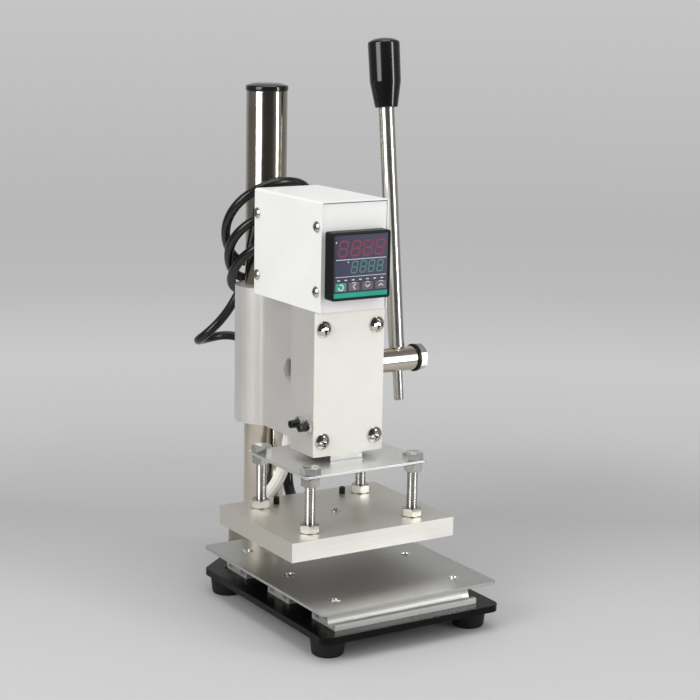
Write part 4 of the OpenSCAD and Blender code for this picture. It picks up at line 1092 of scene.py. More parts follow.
def hex_prism(recipe, flats, height, both_ends=False):
    """A hexagon with its corners turned off at the top, or at both ends."""
    top_r = flats * 0.465
    slope = 1.73
    past = height * 0.15
    wide, narrow = top_r + (height + past) * slope, top_r - past * slope
    trims = [recipe.rod(wide, height + past * 2, 0 - past, narrow, 48)]
    if both_ends:
        trims.append(recipe.rod(narrow, height + past * 2, 0 - past, wide, 48))
    return recipe.common(recipe.rod(flats / math.sqrt(3), height, 0.0, None, 6), *trims)


def thread(recipe, width, length, pitch, low):
    """A rod with a round ridge wound close enough to overlap, which leaves shallow grooves."""
    ridge_r = pitch * 0.9
    inputs = {"Resolution": 20, "Rotations": length / pitch, "Height": length}
    inputs["Start Radius"] = width / 2 - ridge_r
    inputs["End Radius"] = width / 2 - ridge_r
    line = recipe.node("GeometryNodeCurveSpiral", {}, inputs)
    inputs = {"Resolution": 14, "Radius": ridge_r}
    section = recipe.node("GeometryNodeCurvePrimitiveCircle", {}, inputs)
    inputs = {"Curve": line, "Profile Curve": section, "Fill Caps": True}
    ridge = recipe.node("GeometryNodeCurveToMesh", {}, inputs)
    return recipe.joined(recipe.lifted(ridge, low), recipe.rod(width / 2 - ridge_r, length, low))


print("hexagon and thread helpers ready")

# %% [markdown]
# With hexagons and threads at hand, the last three recipes are short. A bolt is a hexagon over a
# thread, a nut is a hexagon with a bore, and a grub screw is a thread with a socket in its top.
# Each names its own inputs, so a call that sets one reads like a parts list.

# %% Recipes for bolts, nuts and grub screws
HEX_BOLT = ("Across flats", "Head height", "Shank width", "Shank length", "Pitch")


def hex_bolt():
    """A hexagon head over a threaded shank. Zero height is under the head."""
    recipe = Recipe("hex_bolt", HEX_BOLT)
    flats, height, shank, length, pitch = (recipe.size(name) for name in HEX_BOLT)
    shaft = thread(recipe, shank, length, pitch, 0 - length)
    return recipe.spread(recipe.joined(hex_prism(recipe, flats, height), shaft))


HEX_NUT = ("Across flats", "Height", "Bore")


def hex_nut():
    """A hexagon nut standing on zero height."""
    recipe = Recipe("hex_nut", HEX_NUT)
    flats, height, bore = (recipe.size(name) for name in HEX_NUT)
    hole = recipe.rod(bore / 2, height * 2, height * -0.5)
    return recipe.spread(recipe.cut(hex_prism(recipe, flats, height, True), hole))


GRUB_SCREW = ("Width", "Length", "Socket", "Pitch")


def grub_screw():
    """A threaded pin with a hexagon socket in its top, at zero height."""
    recipe = Recipe("grub_screw", GRUB_SCREW)
    width, length, socket, pitch = (recipe.size(name) for name in GRUB_SCREW)
    hole = recipe.rod(socket / math.sqrt(3), width, width * -0.5, None, 6)
    top = recipe.cut(recipe.rod(width / 2 - pitch * 0.3, width, 0 - width), hole)
    shaft = thread(recipe, width, length - pitch * 2, pitch, pitch - length)
    return recipe.spread(recipe.joined(top, shaft))


recipes.update({"bolt": hex_bolt(), "nut": hex_nut(), "grub": grub_screw()})
print("recipes:", {name: len(tree.nodes) for name, tree in recipes.items()})

# %% [markdown]
# A recipe needs a point for each fastener. The points are a bare mesh with two attributes: the way
# the head faces, and the way a corner or a slot points. Each input is set by its socket's
# identifier before the tree first runs, and the plain mesh that comes out replaces the points.

# %% Setting fasteners
UP, DOWN, LEFT, RIGHT, FRONT, REAR = (
    (0, 0, 1), (0, 0, -1), (-1, 0, 0), (1, 0, 0), (0, -1, 0), (0, 1, 0))


def fasten(node, kind, places, sizes_mm, finish):
    """Fasteners of one kind in place of a node.

    A place is a point, the way the head faces and, where it matters, the way a corner points.
    """
    name = node + "_set"
    points = bpy.data.meshes.new(name + "_points")
    points.from_pydata([tuple(place[0]) for place in places], [], [])
    sides = [RIGHT if place[1][2] else UP for place in places]
    sides = [place[2] if len(place) > 2 else side for place, side in zip(places, sides)]
    ways = {"facing": [place[1] for place in places], "side": sides}
    for attribute, vectors in ways.items():
        layer = points.attributes.new(attribute, "FLOAT_VECTOR", "POINT")
        layer.data.foreach_set("vector", [value for vector in vectors for value in vector])
    piece = bpy.data.objects.new(name, points)
    scene.collection.objects.link(piece)
    modifier = piece.modifiers.new("make", "NODES")
    modifier.node_group = recipes[kind]
    for item in recipes[kind].interface.items_tree:
        if item.name in sizes_mm:
            modifier[item.identifier] = sizes_mm[item.name] * MM
        elif item.name == "Finish":
            modifier[item.identifier] = finish
    ready = piece.evaluated_get(bpy.context.evaluated_depsgraph_get())
    mesh = bpy.data.meshes.new_from_object(ready)
    bpy.data.objects.remove(piece)
    print(node, len(places), "set,", len(mesh.polygons), "faces")
    return settle(new_piece(name, mesh, finish), node)


def head_sizes(head, shank):
    """A screw's sizes, from the width and height of its head and the width and length below."""
    return dict(zip(HEAD_AND_SHANK, (*head, *shank)))


print("kinds of fastener:", list(recipes))

# %% [markdown]
# The base is screwed together from both sides. Low domed screws hold the table on its rails,
# countersunk ones come up through the plate into the rails, others go down into the feet, and
# three screws hold the boss from below. Their places follow the rails, the feet and the boss, so
# they are worked out from those.

# %% Screws of the base
TABLE_SCREW_X = 49.5
RAIL_SCREW_X = TABLE_SCREW_X - 15
rails = [span(rail) for rail in ("rail_front", "rail_middle", "rail_rear")]
rail_ys = [(low.y + high.y) / 2 for low, high in rails]
table_top = span("work_table")[1].z
base_low, base_high = span("base_plate")
PLATE_T = base_high.z - base_low.z
PROUD = 0.02
table_places = [(at(s * TABLE_SCREW_X, y, table_top), UP) for y in rail_ys for s in (-1, 1)]
fasten("table_screws", "pan", table_places, head_sizes((8, 0.7), (4, 9)), bright_zinc)
rail_places = [(at(s * RAIL_SCREW_X, y, base_low.z - PROUD), DOWN) for y in rail_ys for s in (-1, 1)]
fasten("rail_screws", "flat", rail_places, head_sizes((8, 2), (4, PLATE_T + 7)), zinc_steel)
foot_places = [(at(x, y, base_high.z + PROUD), UP) for x in foot_xs for y in foot_ys]
fasten("foot_screws", "flat", foot_places, head_sizes((9.5, 2.6), (5, PLATE_T + 6)), black_oxide)
boss_reach = (boss_r + column_r) / 2
boss_turns = [math.radians(90 + 120 * k) for k in range(3)]
boss_places = [
    (at(boss_reach * math.cos(t), column_y + boss_reach * math.sin(t), base_low.z), DOWN)
    for t in boss_turns
]
fasten("boss_screws", "pan", boss_places, head_sizes((9, 3), (5, PLATE_T + 9)), zinc_steel)

# %% [markdown]
# The head carries the screws that show most: four large bright ones on its front cover, two black
# gib screws with lock nuts that take up the ram's play, two hexagon bolts that clamp the collar,
# and small screws in the box and its floor. A place is read from the solid of the set wherever
# that gives it.

# %% Screws of the head and its box
cover_front = span("front_cover_plate")[0].y
head_low, head_high = span("head_body")
COVER_SCREW_X, COVER_SCREW_INSET = 21.8, 12
cover_places = [
    (at(s * COVER_SCREW_X, cover_front, z), FRONT)
    for s in (-1, 1) for z in (head_low.z + COVER_SCREW_INSET, head_high.z - COVER_SCREW_INSET)
]
fasten("front_cover_screws", "pan", cover_places, head_sizes((11.6, 3.5), (6, 13)), bright_zinc)
gib_low, gib_high = span("gib_screws")
GIB_D, GIB_NUT_AF, GIB_NUT_T = 6.0, 9.4, 3.2
block_left = span("gib_nuts")[1].x
gib_z = (gib_low.z + gib_high.z) / 2
gib_ys = (gib_low.y + GIB_D / 2, gib_high.y - GIB_D / 2)
fasten("gib_screws", "grub", [(at(gib_low.x, y, gib_z), LEFT) for y in gib_ys],
       dict(zip(GRUB_SCREW, (GIB_D, gib_high.x - gib_low.x, 3, 1.0))), worn_oxide)
fasten("gib_nuts", "nut", [(at(block_left, y, gib_z), LEFT) for y in gib_ys],
       dict(zip(HEX_NUT, (GIB_NUT_AF, GIB_NUT_T, GIB_D))), zinc_steel)
clamp_low, clamp_high = span("clamp_bolts")
CLAMP_AF, CLAMP_HEAD = 13.0, 5.3
clamp_r = CLAMP_AF / math.sqrt(3)
clamp_zs = (clamp_low.z + clamp_r, clamp_high.z - clamp_r)
clamp_x = clamp_high.x - CLAMP_HEAD
fasten("clamp_bolts", "bolt", [(at(clamp_x, column_y, z), RIGHT) for z in clamp_zs],
       dict(zip(HEX_BOLT, (CLAMP_AF, CLAMP_HEAD, 8, clamp_x - clamp_low.x, 1.25))), warm_nickel)
box_low, box_high = span("box_screws")
BOX_HEAD_W, BOX_HEAD_H = 8.0, 2.6
box_ys = (box_low.y + BOX_HEAD_W / 2, box_high.y - BOX_HEAD_W / 2)
box_zs = (box_low.z + BOX_HEAD_W / 2, box_high.z - BOX_HEAD_W / 2)
box_places = [(at(s * half_w, y, z), (s, 0, 0)) for y in box_ys for z in box_zs for s in (-1, 1)]
fasten("box_screws", "pan", box_places, head_sizes((BOX_HEAD_W, BOX_HEAD_H), (4, 3)), zinc_steel)
floor_low, floor_high = span("floor_screws")
FLOOR_HEAD_W, FLOOR_HEAD_H = 9.0, 2.8
floor_z = floor_high.z - FLOOR_HEAD_H
floor_ys = (floor_low.y + FLOOR_HEAD_W / 2, floor_high.y - FLOOR_HEAD_W / 2)
floor_places = [(at(s * COVER_SCREW_X, floor_ys[0], floor_z), UP) for s in (-1, 1)]
floor_places.append((at(0, floor_ys[1], floor_z), UP))
fasten("floor_screws", "pan", floor_places,
       head_sizes((FLOOR_HEAD_W, FLOOR_HEAD_H), (5, floor_z - floor_low.z)), zinc_steel)

# %% [markdown]
# The heating plate hangs from the upper plate on four long bolts. A nut under the upper plate
# locks each bolt and a nut on the heating plate ends it, so most of the thread shows. A bolt
# closes each end of the lever's shaft. Nuts face up on the one plate and down under the other,
# which the facing of each place takes care of.

# %% Fasteners of the ram and the lever
bolts_low, bolts_high = span("standoff_bolts")
upper_low, upper_high = span("upper_plate")
heat_top = span("heating_plate")[1].z
BOLT_D, BOLT_AF = 8.0, 13.0
NUT_H = BOLT_D * 0.8
bolt_xs = [s * (bolts_high.x - BOLT_AF / 2) for s in (-1, 1)]
bolt_ys = [s * (bolts_high.y - BOLT_AF / math.sqrt(3)) for s in (-1, 1)]
bolt_spots = [(x, y) for x in bolt_xs for y in bolt_ys]
bolt_sizes = (BOLT_AF, bolts_high.z - upper_high.z, BOLT_D, upper_high.z - bolts_low.z, 1.25)
fasten("standoff_bolts", "bolt", [(at(x, y, upper_high.z), UP, REAR) for x, y in bolt_spots],
       dict(zip(HEX_BOLT, bolt_sizes)), bright_zinc)
nut_places = [(at(x, y, heat_top), UP) for x, y in bolt_spots]
nut_places += [(at(x, y, upper_low.z), DOWN) for x, y in bolt_spots]
fasten("standoff_nuts", "nut", nut_places, dict(zip(HEX_NUT, (BOLT_AF, NUT_H, BOLT_D))), nut_zinc)
UNDER_HEAD_W = 10.5
under_y = span("plate_screws")[1].y - UNDER_HEAD_W / 2
under_places = [(at(0, s * under_y, upper_low.z), DOWN) for s in (-1, 1)]
fasten("plate_screws", "pan", under_places, head_sizes((UNDER_HEAD_W, 3.2), (6, 15)), zinc_steel)
fasten("plate_center_screw", "pan", [(at(0, 0, heat_top), UP)],
       head_sizes((6, 1.8), (3.5, 3.9)), bright_zinc)
RACK_HEAD_W = 7.5
rack_low, rack_high = span("rack_screws")
rack_zs = (rack_low.z + RACK_HEAD_W / 2, rack_high.z - RACK_HEAD_W / 2)
fasten("rack_screws", "flat", [(at(0, rack_high.y, z), REAR) for z in rack_zs],
       head_sizes((RACK_HEAD_W, 2), (4, rack_high.y - rack_low.y)), zinc_steel)
set_low, set_high = span("heater_set_screws")
SET_D = 4.6
set_y = (set_low.y + set_high.y) / 2
set_xs = (set_low.x + SET_D / 2, set_high.x - SET_D / 2)
set_places = [(at(x, set_y, set_high.z), UP) for x in set_xs]
fasten("heater_set_screws", "grub", set_places,
       dict(zip(GRUB_SCREW, (SET_D, set_high.z - set_low.z, 2.3, 0.8))), black_oxide)
END_AF, END_HEAD, END_D, END_SHANK = 18.0, 6.4, 12.0, 9.0
washer_high = span("spring_washer")[1]
end_places = [
    (shaft_axis + Vector((washer_high.x * MM, 0, 0)), RIGHT),
    (shaft_axis + Vector((shaft_low.x * MM, 0, 0)), LEFT, REAR),
]
fasten("shaft_bolts", "bolt", end_places,
       dict(zip(HEX_BOLT, (END_AF, END_HEAD, END_D, END_SHANK, 1.75))), bright_zinc)

# %% [markdown]
# The controller is a small panel instrument: a case behind the panel, a bezel in front, a dark
# window and four keys. The bezel and the window are dressed copies of their solids. What is
# printed on the window is thin plates, placed by shares of the face, so their places are easy to
# measure.

# %% Controller bezel and window
window_low, window_high = span("controller_window")
dress("controller_bezel", controller_plastic, 0.7, 3)
dress("controller_window", window_gloss, 0.12, 1)
PRINT_T = 0.10
face_w = window_high.x - window_low.x


def on_face(u, v):
    """A point on the window, from shares of its width and of its height down from the top."""
    return Vector((window_low.x + u * face_w, window_high.z - v * face_w))


def plate_from(shape, outline, front_y, thickness=PRINT_T):
    """Adds a thin plate to a bmesh, from an outline of x and z in millimetres."""
    ys = (front_y, front_y + thickness)
    rings = [[shape.verts.new(at(p[0], y, p[1])) for p in outline] for y in ys]
    for i in range(len(outline)):
        j = (i + 1) % len(outline)
        shape.faces.new((rings[0][i], rings[0][j], rings[1][j], rings[1][i]))
    shape.faces.new(rings[0])
    shape.faces.new(list(reversed(rings[1])))


PRINT_Y = window_low.y - 0.06
print("window", round(face_w, 1), "mm across")

# %% [markdown]
# Unlit display segments still show as pale shapes: two rows of four leaning figure eights. A
# picture laid on the window would need an image file, so each segment is modelled. It is a bar
# with pointed ends, and seven of them make a digit.

# %% Digits of the display


def segment(center, along, across, length, width):
    """A display segment: a bar with pointed ends."""
    tip = width / 2
    ends = ((-length / 2, 0), (-length / 2 + tip, tip), (length / 2 - tip, tip), (length / 2, 0),
            (length / 2 - tip, -tip), (-length / 2 + tip, -tip))
    return [center + along * a + across * b for a, b in ends]


def digit_row(shape, centers, top, bottom, width):
    """A row of leaning figure eights in shares of the face."""
    lean = 0.14
    upright = Vector((lean, 1)).normalized()
    flat = Vector((1, 0))
    for u in centers:
        middle = on_face(u, (top + bottom) / 2)
        half_h = (bottom - top) / 2 * face_w
        half_width = width / 2 * face_w
        bar = half_width * 0.34
        for row in (-1, 0, 1):
            center = middle + Vector((lean * half_h * row, half_h * row * 0.9))
            outline = segment(center, flat, Vector((0, 1)), half_width * 1.75, bar)
            plate_from(shape, outline, PRINT_Y)
        for row in (-1, 1):
            for side in (-1, 1):
                sway = side * half_width * 0.9 + lean * half_h * row * 0.5
                center = middle + Vector((sway, half_h * row * 0.45))
                plate_from(shape, segment(center, upright, flat, half_h * 0.84, bar), PRINT_Y)


def window_piece(name, shape, finish):
    """A mark on the window, as a piece that moves with it."""
    return add_on(new_piece(name, mesh_of(shape, name), finish), "controller_window")


red_shape = bmesh.new()
digit_row(red_shape, (0.165, 0.397, 0.62, 0.845), 0.09, 0.346, 0.165)
red_digits = window_piece("red_digits", red_shape, print_red)
green_shape = bmesh.new()
digit_row(green_shape, (0.38, 0.54, 0.696, 0.856), 0.42, 0.615, 0.115)
green_digits = window_piece("green_digits", green_shape, print_green)
print("display faces:", len(red_digits.data.polygons) + len(green_digits.data.polygons))

# %% [markdown]
# Two white lines part the rows of the display from the keys, two dots and a row of dashes stand
# for its small lamps, and a teal band closes the face. They are printed on the real one. Here each
# is a plate a tenth of a millimetre thick, so it stays crisp in any view.

# %% Marks, lines and band of the window


def face_bar(shape, u0, v0, u1, v1, front_y=PRINT_Y):
    """A thin bar between two corners in shares of the face."""
    a, b = on_face(u0, v0), on_face(u1, v1)
    plate_from(shape, [(a.x, a.y), (b.x, a.y), (b.x, b.y), (a.x, b.y)], front_y)


def disc(center, radius, count=20):
    """The outline of a round dot."""
    turns = [2 * math.pi * k / count for k in range(count)]
    return [center + radius * Vector((math.cos(t), math.sin(t))) for t in turns]


marks_shape = bmesh.new()
face_bar(marks_shape, 0.03, 0.388, 0.97, 0.398)
face_bar(marks_shape, 0.03, 0.662, 0.97, 0.670)
plate_from(marks_shape, disc(on_face(0.035, 0.114), 0.55), PRINT_Y)
plate_from(marks_shape, disc(on_face(0.26, 0.435), 0.5), PRINT_Y)
for k in range(7):
    left = 0.06 + k * 0.135
    face_bar(marks_shape, left, 0.712, left + 0.05, 0.728)
window_marks = window_piece("window_marks", marks_shape, print_white)
band_shape = bmesh.new()
face_bar(band_shape, 0.0, 0.925, 1.0, 1.0)
window_piece("window_band", band_shape, band_teal)
print("marks:", len(window_marks.data.polygons), "faces")

# %% [markdown]
# The keys carry white signs: a ring with an arrow head on the teal key, and arrow heads under an
# arc on the grey ones. A sign is a line of even width, and one helper turns a row of points into
# the outline of such a line. A text object would need a font that has these signs.

# %% Signs


def stroke(points, width):
    """The outline of a line of even width through points."""
    left, right = [], []
    for i, p in enumerate(points):
        way = (points[min(i + 1, len(points) - 1)] - points[max(i - 1, 0)]).normalized()
        side = Vector((-way.y, way.x)) * width / 2
        left.append(p + side)
        right.append(p - side)
    return left + right[::-1]


def arc(center, radius, first_deg, last_deg, count=18):
    """Points on part of a circle."""
    turns = [math.radians(first_deg + (last_deg - first_deg) * k / count) for k in range(count + 1)]
    return [center + radius * Vector((math.cos(t), math.sin(t))) for t in turns]


def chevron(center, way, size):
    """Three points of an arrow head that points the given way."""
    side = Vector((-way.y, way.x))
    foot, tip = center - way * size / 2, center + way * size / 2
    return [foot + side * size, tip, foot - side * size]


print("sign helpers ready")

# %% [markdown]
# Each of the four keys can be pressed, so each is a piece of its own and carries its sign with it.
# The caps are dressed copies of their solids. The signs are thin plates again, like the print on
# the window, and each one moves with its key.

# %% Keys
SIGN_W, RING_R, ARROW, ARC_R, ARC_W = 0.75, 2.0, 1.8, 2.95, 0.42
RING_FROM, RING_TO = -150, 120
key_ways = {
    "set_key": None,
    "shift_key": Vector((-1, 0)),
    "down_key": Vector((0, -1)),
    "up_key": Vector((0, 1)),
}
for key, way in key_ways.items():
    dress(key, key_teal if way is None else key_grey, 0.35, 3)
    key_low, key_high = span(key)
    middle = Vector(((key_low.x + key_high.x) / 2, (key_low.z + key_high.z) / 2))
    sign_shape = bmesh.new()
    sign_y = key_low.y - 0.05
    if way is None:
        ring = arc(middle, RING_R, RING_FROM, RING_TO)
        plate_from(sign_shape, stroke(ring, SIGN_W), sign_y)
        head = ((-0.9, -0.2), (0.9, -0.2), (0, 1.2))
        plate_from(sign_shape, [ring[0] + Vector(p) for p in head], sign_y)
    else:
        plate_from(sign_shape, stroke(chevron(middle, way, ARROW), SIGN_W), sign_y)
        plate_from(sign_shape, stroke(arc(middle, ARC_R, 50, 130), ARC_W), sign_y)
    sign = new_piece(key + "_sign", mesh_of(sign_shape, key + "_sign"), print_white)
    add_on(sign, key)
print("keys:", list(key_ways))

# %% [markdown]
# Two leads run from the back of the heating plate up into the web: a braided glass sleeve over the
# heater wires, and a black lead to the probe. The plate moves with the ram and the web does not.
# Here each lead is a tube fixed in its place at rest.

# %% Heater sleeve and sensor lead
SLEEVE_D, SENSOR_D = 9.5, 8.0
sleeve_route = [
    (-28.5, 53, 62.5), (-28.2, 58, 62.7), (-25.2, 63.4, 64.3), (-18.8, 66.8, 68.1),
    (-12, 67.6, 74.5), (-7.4, 67.2, 83), (-4.8, 66.4, 93), (-3.3, 65.4, 103.5),
    (-2.5, 64.5, 115.5), (-3.4, 62.6, 152.5), (-3.6, 62.4, 192.5), (-3.6, 62.4, 224.5),
]
sensor_route = [
    (0, 53, 62.5), (0, 60, 62.5), (1, 68, 65.5), (2, 73.5, 72.5), (3, 76, 82.5), (3, 76.5, 94.5),
    (3, 76, 115.5), (3.6, 72, 152.5), (4.2, 68.2, 192.5), (4.2, 68.2, 224.5),
]
RIBS = 12


def ribbed(share):
    """Radius of the sleeve round its section: shallow ribs along its length."""
    return SLEEVE_D / 2 * MM * (0.965 + 0.035 * math.cos(2 * math.pi * RIBS * share))


def moving_lead(name, route, radius_at, sides, finish, node):
    """A lead from the plate up into the web, as a tube fixed in its place at rest."""
    line = smooth_line([at(*p) for p in route], 2 * MM)
    piece = new_piece(name, tube(name, line, radius_at, sides), finish)
    at(0, 65, 114.5)
    at(0, 65, 66.5)
    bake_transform(piece)
    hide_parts(node)
    line_length(line)
    print(name, round(line_length(line), 3), "m")


moving_lead(
    "sleeve", sleeve_route, ribbed, 6 * RIBS, glass_sleeve, "heater_sleeve")
moving_lead(
    "probe_lead", sensor_route, lambda share: SENSOR_D / 2 * MM, 24, cord_pvc,
    "sensor_lead")

# %% [markdown]
# Inside the ram a coil spring lifts the plate when the lever is let go. It is a helix of wire, so
# its points follow one formula and the tube helper does the rest. Its top hangs on the head and
# its foot moves with the ram; here it is a tube fixed in its place at rest.

# %% Return spring
spring_low, spring_high = span("return_spring")
SPRING_R, SPRING_WIRE, SPRING_TURNS, SPRING_RINGS = 4.6, 1.6, 10, 28
spring_from, spring_to = spring_low.z + SPRING_WIRE / 2, spring_high.z - SPRING_WIRE / 2
spring_line = []
for i in range(SPRING_TURNS * SPRING_RINGS + 1):
    turned_by = 2 * math.pi * i / SPRING_RINGS
    height = spring_from + (spring_to - spring_from) * i / (SPRING_TURNS * SPRING_RINGS)
    spring_line.append(at(SPRING_R * math.cos(turned_by), SPRING_R * math.sin(turned_by), height))
spring_mesh = tube("spring", spring_line, lambda share: SPRING_WIRE / 2 * MM, 12)
spring = new_piece("spring", spring_mesh, zinc_steel)
at(0, 0, spring_to)
at(0, 0, spring_from)
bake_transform(spring)
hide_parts("return_spring")
print("spring", len(spring_line), "rings")

# %% [markdown]
# The cord leaves the box through a black gland, a bush with a flange outside the panel and a
# ribbed taper that keeps the cord from bending sharply. It is round, so it is one spun outline,
# and a loop adds its ribs.

# %% Gland
GLAND_FLANGE_R, GLAND_TIP_R, GLAND_NECK_R = 6.5, 4.75, 4.5
GLAND_NUT_R, GLAND_GROOVE, FLANGE_T = GLAND_FLANGE_R - 0.5, 0.7, 3.0
rear_panel = span("box_chassis")[1].y
inner_end = span("cord_gland")[0].y - rear_panel
gland_points = [
    (0, inner_end), (GLAND_NUT_R, inner_end), (GLAND_NUT_R, -1), (GLAND_NECK_R, -1),
    (GLAND_NECK_R, 0), (GLAND_FLANGE_R, 0), (GLAND_FLANGE_R, FLANGE_T),
]
RELIEF_RIBS = 5
taper_from, taper_to = FLANGE_T, GLAND_END_Y - rear_panel
rib_pitch = (taper_to - taper_from) / RELIEF_RIBS
for k in range(RELIEF_RIBS):
    low = taper_from + k * rib_pitch
    wide = GLAND_FLANGE_R - 1 + (GLAND_TIP_R - GLAND_FLANGE_R + 1) * k / (RELIEF_RIBS - 1)
    slim = wide - GLAND_GROOVE
    gland_points += [(wide, low), (wide, low + rib_pitch * 0.62)]
    gland_points += [(slim, low + rib_pitch * 0.68), (slim, low + rib_pitch * 0.94)]
gland_points += [(CORD_D / 2 + 0.3, taper_to), (0, taper_to)]
gland_outline = rounded(gland_points, [0, *[0.25] * (len(gland_points) - 2), 0], 3)
gland = turned("gland", gland_outline, at(GLAND_X, rear_panel, GLAND_Z), REAR, cord_pvc, 64)
settle(gland, "cord_gland")
print("gland", round(taper_to, 1), "mm out of the panel")

# %% [markdown]
# The cord ends in a moulded plug. It is round at the cord and a flat oval at the pins, so no
# single outline can be spun. It is lofted instead: a stack of rings, each between an ellipse and a
# box, joined one to the next. The first rings are the ribs that let the neck bend.

# %% Plug
PLUG_W, PLUG_T, PLUG_L, PLUG_NECK = 27.0, 14.0, 32.0, 12.0
PLUG_SIDES = 64


def plug_section(half_w, half_t, z, power):
    """A ring of the plug: a rounded rectangle between an ellipse and a box."""
    ring = []
    for k in range(PLUG_SIDES):
        a = 2 * math.pi * k / PLUG_SIDES
        c, s = math.cos(a), math.sin(a)
        x = half_w * math.copysign(abs(c) ** (2 / power), c)
        y = half_t * math.copysign(abs(s) ** (2 / power), s)
        ring.append(plug_top + Vector((x * MM, y * MM, -z * MM)))
    return ring


sections = [(0.5, 0.5, 0.0, 2.0), (CORD_D / 2 + 1.0, CORD_D / 2 + 1.0, 0.0, 2.0)]
for k in range(4):
    low = 0.6 + k * 2.3
    wide = CORD_D / 2 + 1.2 + k * 0.45
    slim = wide - 0.6
    sections += [(wide, wide, low, 2.0), (wide, wide, low + 1.3, 2.0)]
    sections += [(slim, slim, low + 1.5, 2.0), (slim, slim, low + 2.1, 2.0)]
half_plug, half_thick = PLUG_W / 2, PLUG_T / 2
sections += [
    (6.0, 5.8, 10.2, 2.0), (8.5, 6.4, 11.2, 2.3),
    (half_plug - 1.6, half_thick - 0.5, PLUG_NECK + 1.2, 2.8),
    (half_plug - 0.4, half_thick - 0.1, PLUG_NECK + 3.5, 3.2),
    (half_plug, half_thick, PLUG_NECK + 6, 3.4), (half_plug, half_thick, PLUG_L - 1.6, 3.4),
    (half_plug - 0.5, half_thick - 0.5, PLUG_L - 0.5, 3.4),
    (half_plug - 1.3, half_thick - 1.3, PLUG_L, 3.4), (0.5, 0.5, PLUG_L, 2.0),
]
plug_shape = bmesh.new()
plug_rings = [[plug_shape.verts.new(p) for p in plug_section(*section)] for section in sections]
for ring, after in zip(plug_rings, plug_rings[1:]):
    for k in range(PLUG_SIDES):
        nxt = (k + 1) % PLUG_SIDES
        plug_shape.faces.new((ring[k], ring[nxt], after[nxt], after[k]))
plug_shape.faces.new(plug_rings[0])
plug_shape.faces.new(plug_rings[-1])
plug = settle(new_piece("plug", mesh_of(plug_shape, "plug"), cord_pvc), "plug_body")
print("plug sections:", len(sections))

# %% [markdown]
# Two round pins close the plug. They are turned pieces in one mesh. With the plug and the pins in
# place the whole cord is made, and its length is printed.

# %% Pins and the whole cord
PIN_R, PIN_L, PIN_PITCH = 2.4, 19.0, 19.0
pin_outline = rounded([(0, 0), (PIN_R, 0), (PIN_R, PIN_L), (0, PIN_L)], [0, 0, 1.8, 0], 6)
pins_shape = bmesh.new()
for side in (-1, 1):
    pin_root = plug_top + Vector((side * PIN_PITCH / 2, 0, -PLUG_L)) * MM
    spin(pins_shape, pin_outline, pin_root, DOWN, 40)
pins = settle(new_piece("pins", mesh_of(pins_shape, "pins"), nickel), "plug_pins")
line_length(cord_line)
print("cord with its plug:", round(line_length(cord_line), 3), "m")

# %% [markdown]
# The studio is a pale grey sweep, as in a product picture. The floor is a wide disc that fades out
# towards its rim, so no horizon shows from any side, and it still takes the shadow. Its tone
# changes a little with the depth from the camera: painted shade, a little darker behind the object,
# where paper curving up falls into shade.

# %% Floor
FLOOR_R = 3.0
floor_shape = bmesh.new()
bmesh.ops.create_circle(floor_shape, cap_ends=True, segments=96, radius=FLOOR_R)
floor_mesh = bpy.data.meshes.new("floor")
floor_shape.to_mesh(floor_mesh)
floor_shape.free()
floor = bpy.data.objects.new("floor", floor_mesh)
scene.collection.objects.link(floor)
floor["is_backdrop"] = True
floor_finish = Finish("floor")
spot = floor_finish.node(
    "ShaderNodeVectorMath", {"operation": "LENGTH"}, {0: floor_finish.place}, out="Value")
fade_range = {"From Min": 0.36, "From Max": 0.62, "To Min": 0.0, "To Max": 1.0}
fade = floor_finish.node(
    "ShaderNodeMapRange", {"interpolation_type": "SMOOTHSTEP"}, {"Value": spot, **fade_range})
camera_side = Vector((back.x, back.y, 0)).normalized()
depth = floor_finish.node("ShaderNodeVectorMath", {"operation": "DOT_PRODUCT"},
                          {0: floor_finish.place, 1: camera_side}, out="Value")
FAR, NEAR = -0.5, 0.2
# Painted shade: the greys dip a little behind the object.
floor_greys = ((-0.5, 194), (-0.2, 177), (0.02, 193), (0.15, 196))
floor_stops = [
    ((metres - FAR) / (NEAR - FAR), tone(grey, grey, grey)) for metres, grey in floor_greys
]
floor_tone = floor_finish.ramp((depth - FAR) / (NEAR - FAR), *floor_stops)
paper = floor_finish.node("ShaderNodeBsdfDiffuse", {}, {"Color": floor_tone})
clear = floor_finish.node("ShaderNodeBsdfTransparent", {}, {})
sweep = floor_finish.node("ShaderNodeMixShader", {}, {0: fade, 1: paper, 2: clear})
floor_finish.node("ShaderNodeOutputMaterial", {}, {"Surface": sweep})
floor_mesh.materials.append(floor_finish.material)
print("floor", FLOOR_R, "m in radius")

# %% [markdown]
# The world does three jobs, and Light Path tells them apart. The camera sees a wall with soft grey
# bands. Matt surfaces get an even white fill. Bright metal needs something to reflect, so for
# reflections the world is grey with a darker side behind the camera, as in a real studio.

# %% World
world = bpy.data.worlds.new("studio")
world.use_nodes = True
scene.world = world
sky = Graph(world.node_tree)
sky.tree.nodes.clear()
light_path = sky.node("ShaderNodeLightPath", {}, {}, out="Is Camera Ray")
glossy = Wire(sky, light_path.socket.node.outputs["Is Glossy Ray"])
direction = sky.node("ShaderNodeTexCoord", {}, {}, out="Generated")
towards, sideways = (
    sky.node(
        "ShaderNodeVectorMath", {"operation": "DOT_PRODUCT"}, {0: direction, 1: axis}, out="Value")
    for axis in (camera_side, level)
)
around = sideways.maths("ARCTAN2", sideways, towards) / (2 * math.pi) + 0.5
greys = (
    (-180, 192), (-135, 155), (-110, 98), (-72, 98), (-30, 66), (0, 48), (35, 56), (50, 100),
    (78, 132), (110, 112), (145, 150), (180, 192),
)
stops = [(degrees / 360 + 0.5, tone(grey, grey, grey)) for degrees, grey in greys]
reflected = sky.node("ShaderNodeValToRGB", {"stops": stops}, {"Fac": around}, out="Color")
LIGHT_LEVEL = 0.62
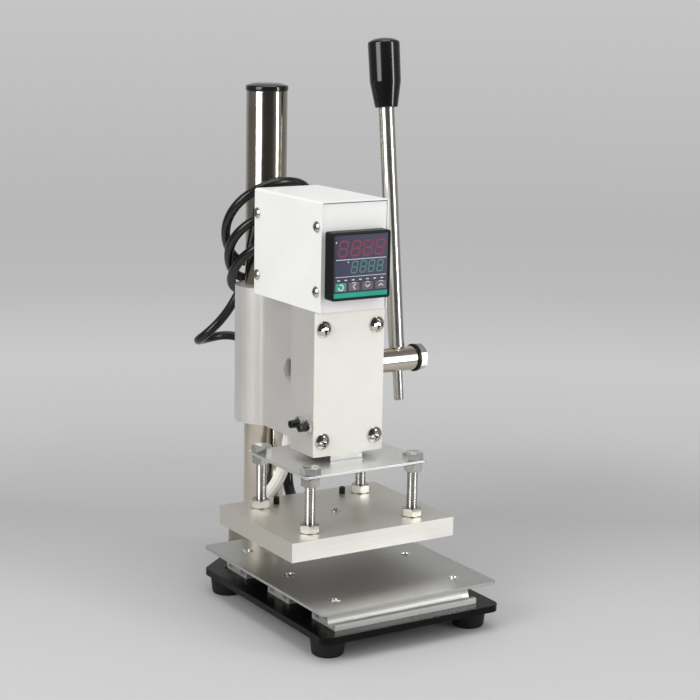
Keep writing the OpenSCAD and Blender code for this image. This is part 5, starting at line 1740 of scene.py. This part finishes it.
fill = sky.node("ShaderNodeBackground", {}, {"Color": (1, 1, 1, 1), "Strength": LIGHT_LEVEL})
mirror = sky.node("ShaderNodeBackground", {}, {"Color": reflected, "Strength": 1.0})
rise = sky.node("ShaderNodeSeparateXYZ", {}, {"Vector": direction}, out="Z")
LOWEST, HIGHEST = -0.4, 0.1
wall_greys = ((-0.40, 206), (-0.26, 192), (-0.205, 202), (-0.165, 187), (-0.13, 183), (0.0, 198))
wall_stops = [
    ((z - LOWEST) / (HIGHEST - LOWEST), tone(grey, grey, grey + 1)) for z, grey in wall_greys
]
wall_share = (rise - LOWEST) / (HIGHEST - LOWEST)
wall = sky.node("ShaderNodeValToRGB", {"stops": wall_stops}, {"Fac": wall_share}, out="Color")
seen = sky.node("ShaderNodeBackground", {}, {"Color": wall, "Strength": 1.0})
lit = sky.node("ShaderNodeMixShader", {}, {0: glossy, 1: fill, 2: mirror})
shown = sky.node("ShaderNodeMixShader", {}, {0: light_path, 1: lit, 2: seen})
sky.node("ShaderNodeOutputWorld", {}, {"Surface": shown})
print("world nodes:", len(world.node_tree.nodes))

# %% [markdown]
# Three soft lamps light the press. A broad one on the left is the key, a narrow one at the front
# right draws the bright line down the column, and one above opens the shadows. Their power is low,
# because the world fills the rest and white paint should stay short of pure white.

# %% Lamps


def lamp(name, place, aim, size, power):
    """A soft rectangular lamp that the camera doesn't see but metal does."""
    data = bpy.data.lights.new(name, "AREA")
    data.shape = "RECTANGLE"
    data.size, data.size_y = size
    data.energy = power
    made = bpy.data.objects.new(name, data)
    scene.collection.objects.link(made)
    made.location = place
    made.rotation_euler = (Vector(aim) - Vector(place)).to_track_quat("-Z", "Y").to_euler()
    made.visible_camera = False


AIM = (0, 0, 0.18)
lamp("key", (-1.5, -0.35, 0.75), AIM, (0.9, 1.2), 13)
lamp("strip", (0.85, -1.25, 0.5), AIM, (0.26, 1.3), 8)
lamp("top", (0.0, -0.2, 1.7), AIM, (1.2, 1.2), 8)

# %% [markdown]
# Dressing must not change the size of the press. The last line prints the box of everything that
# was made, in millimetres.

# %% Sizes and finish
low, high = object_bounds()
print("visual box in mm:", [round(v / MM, 1) for v in high - low])
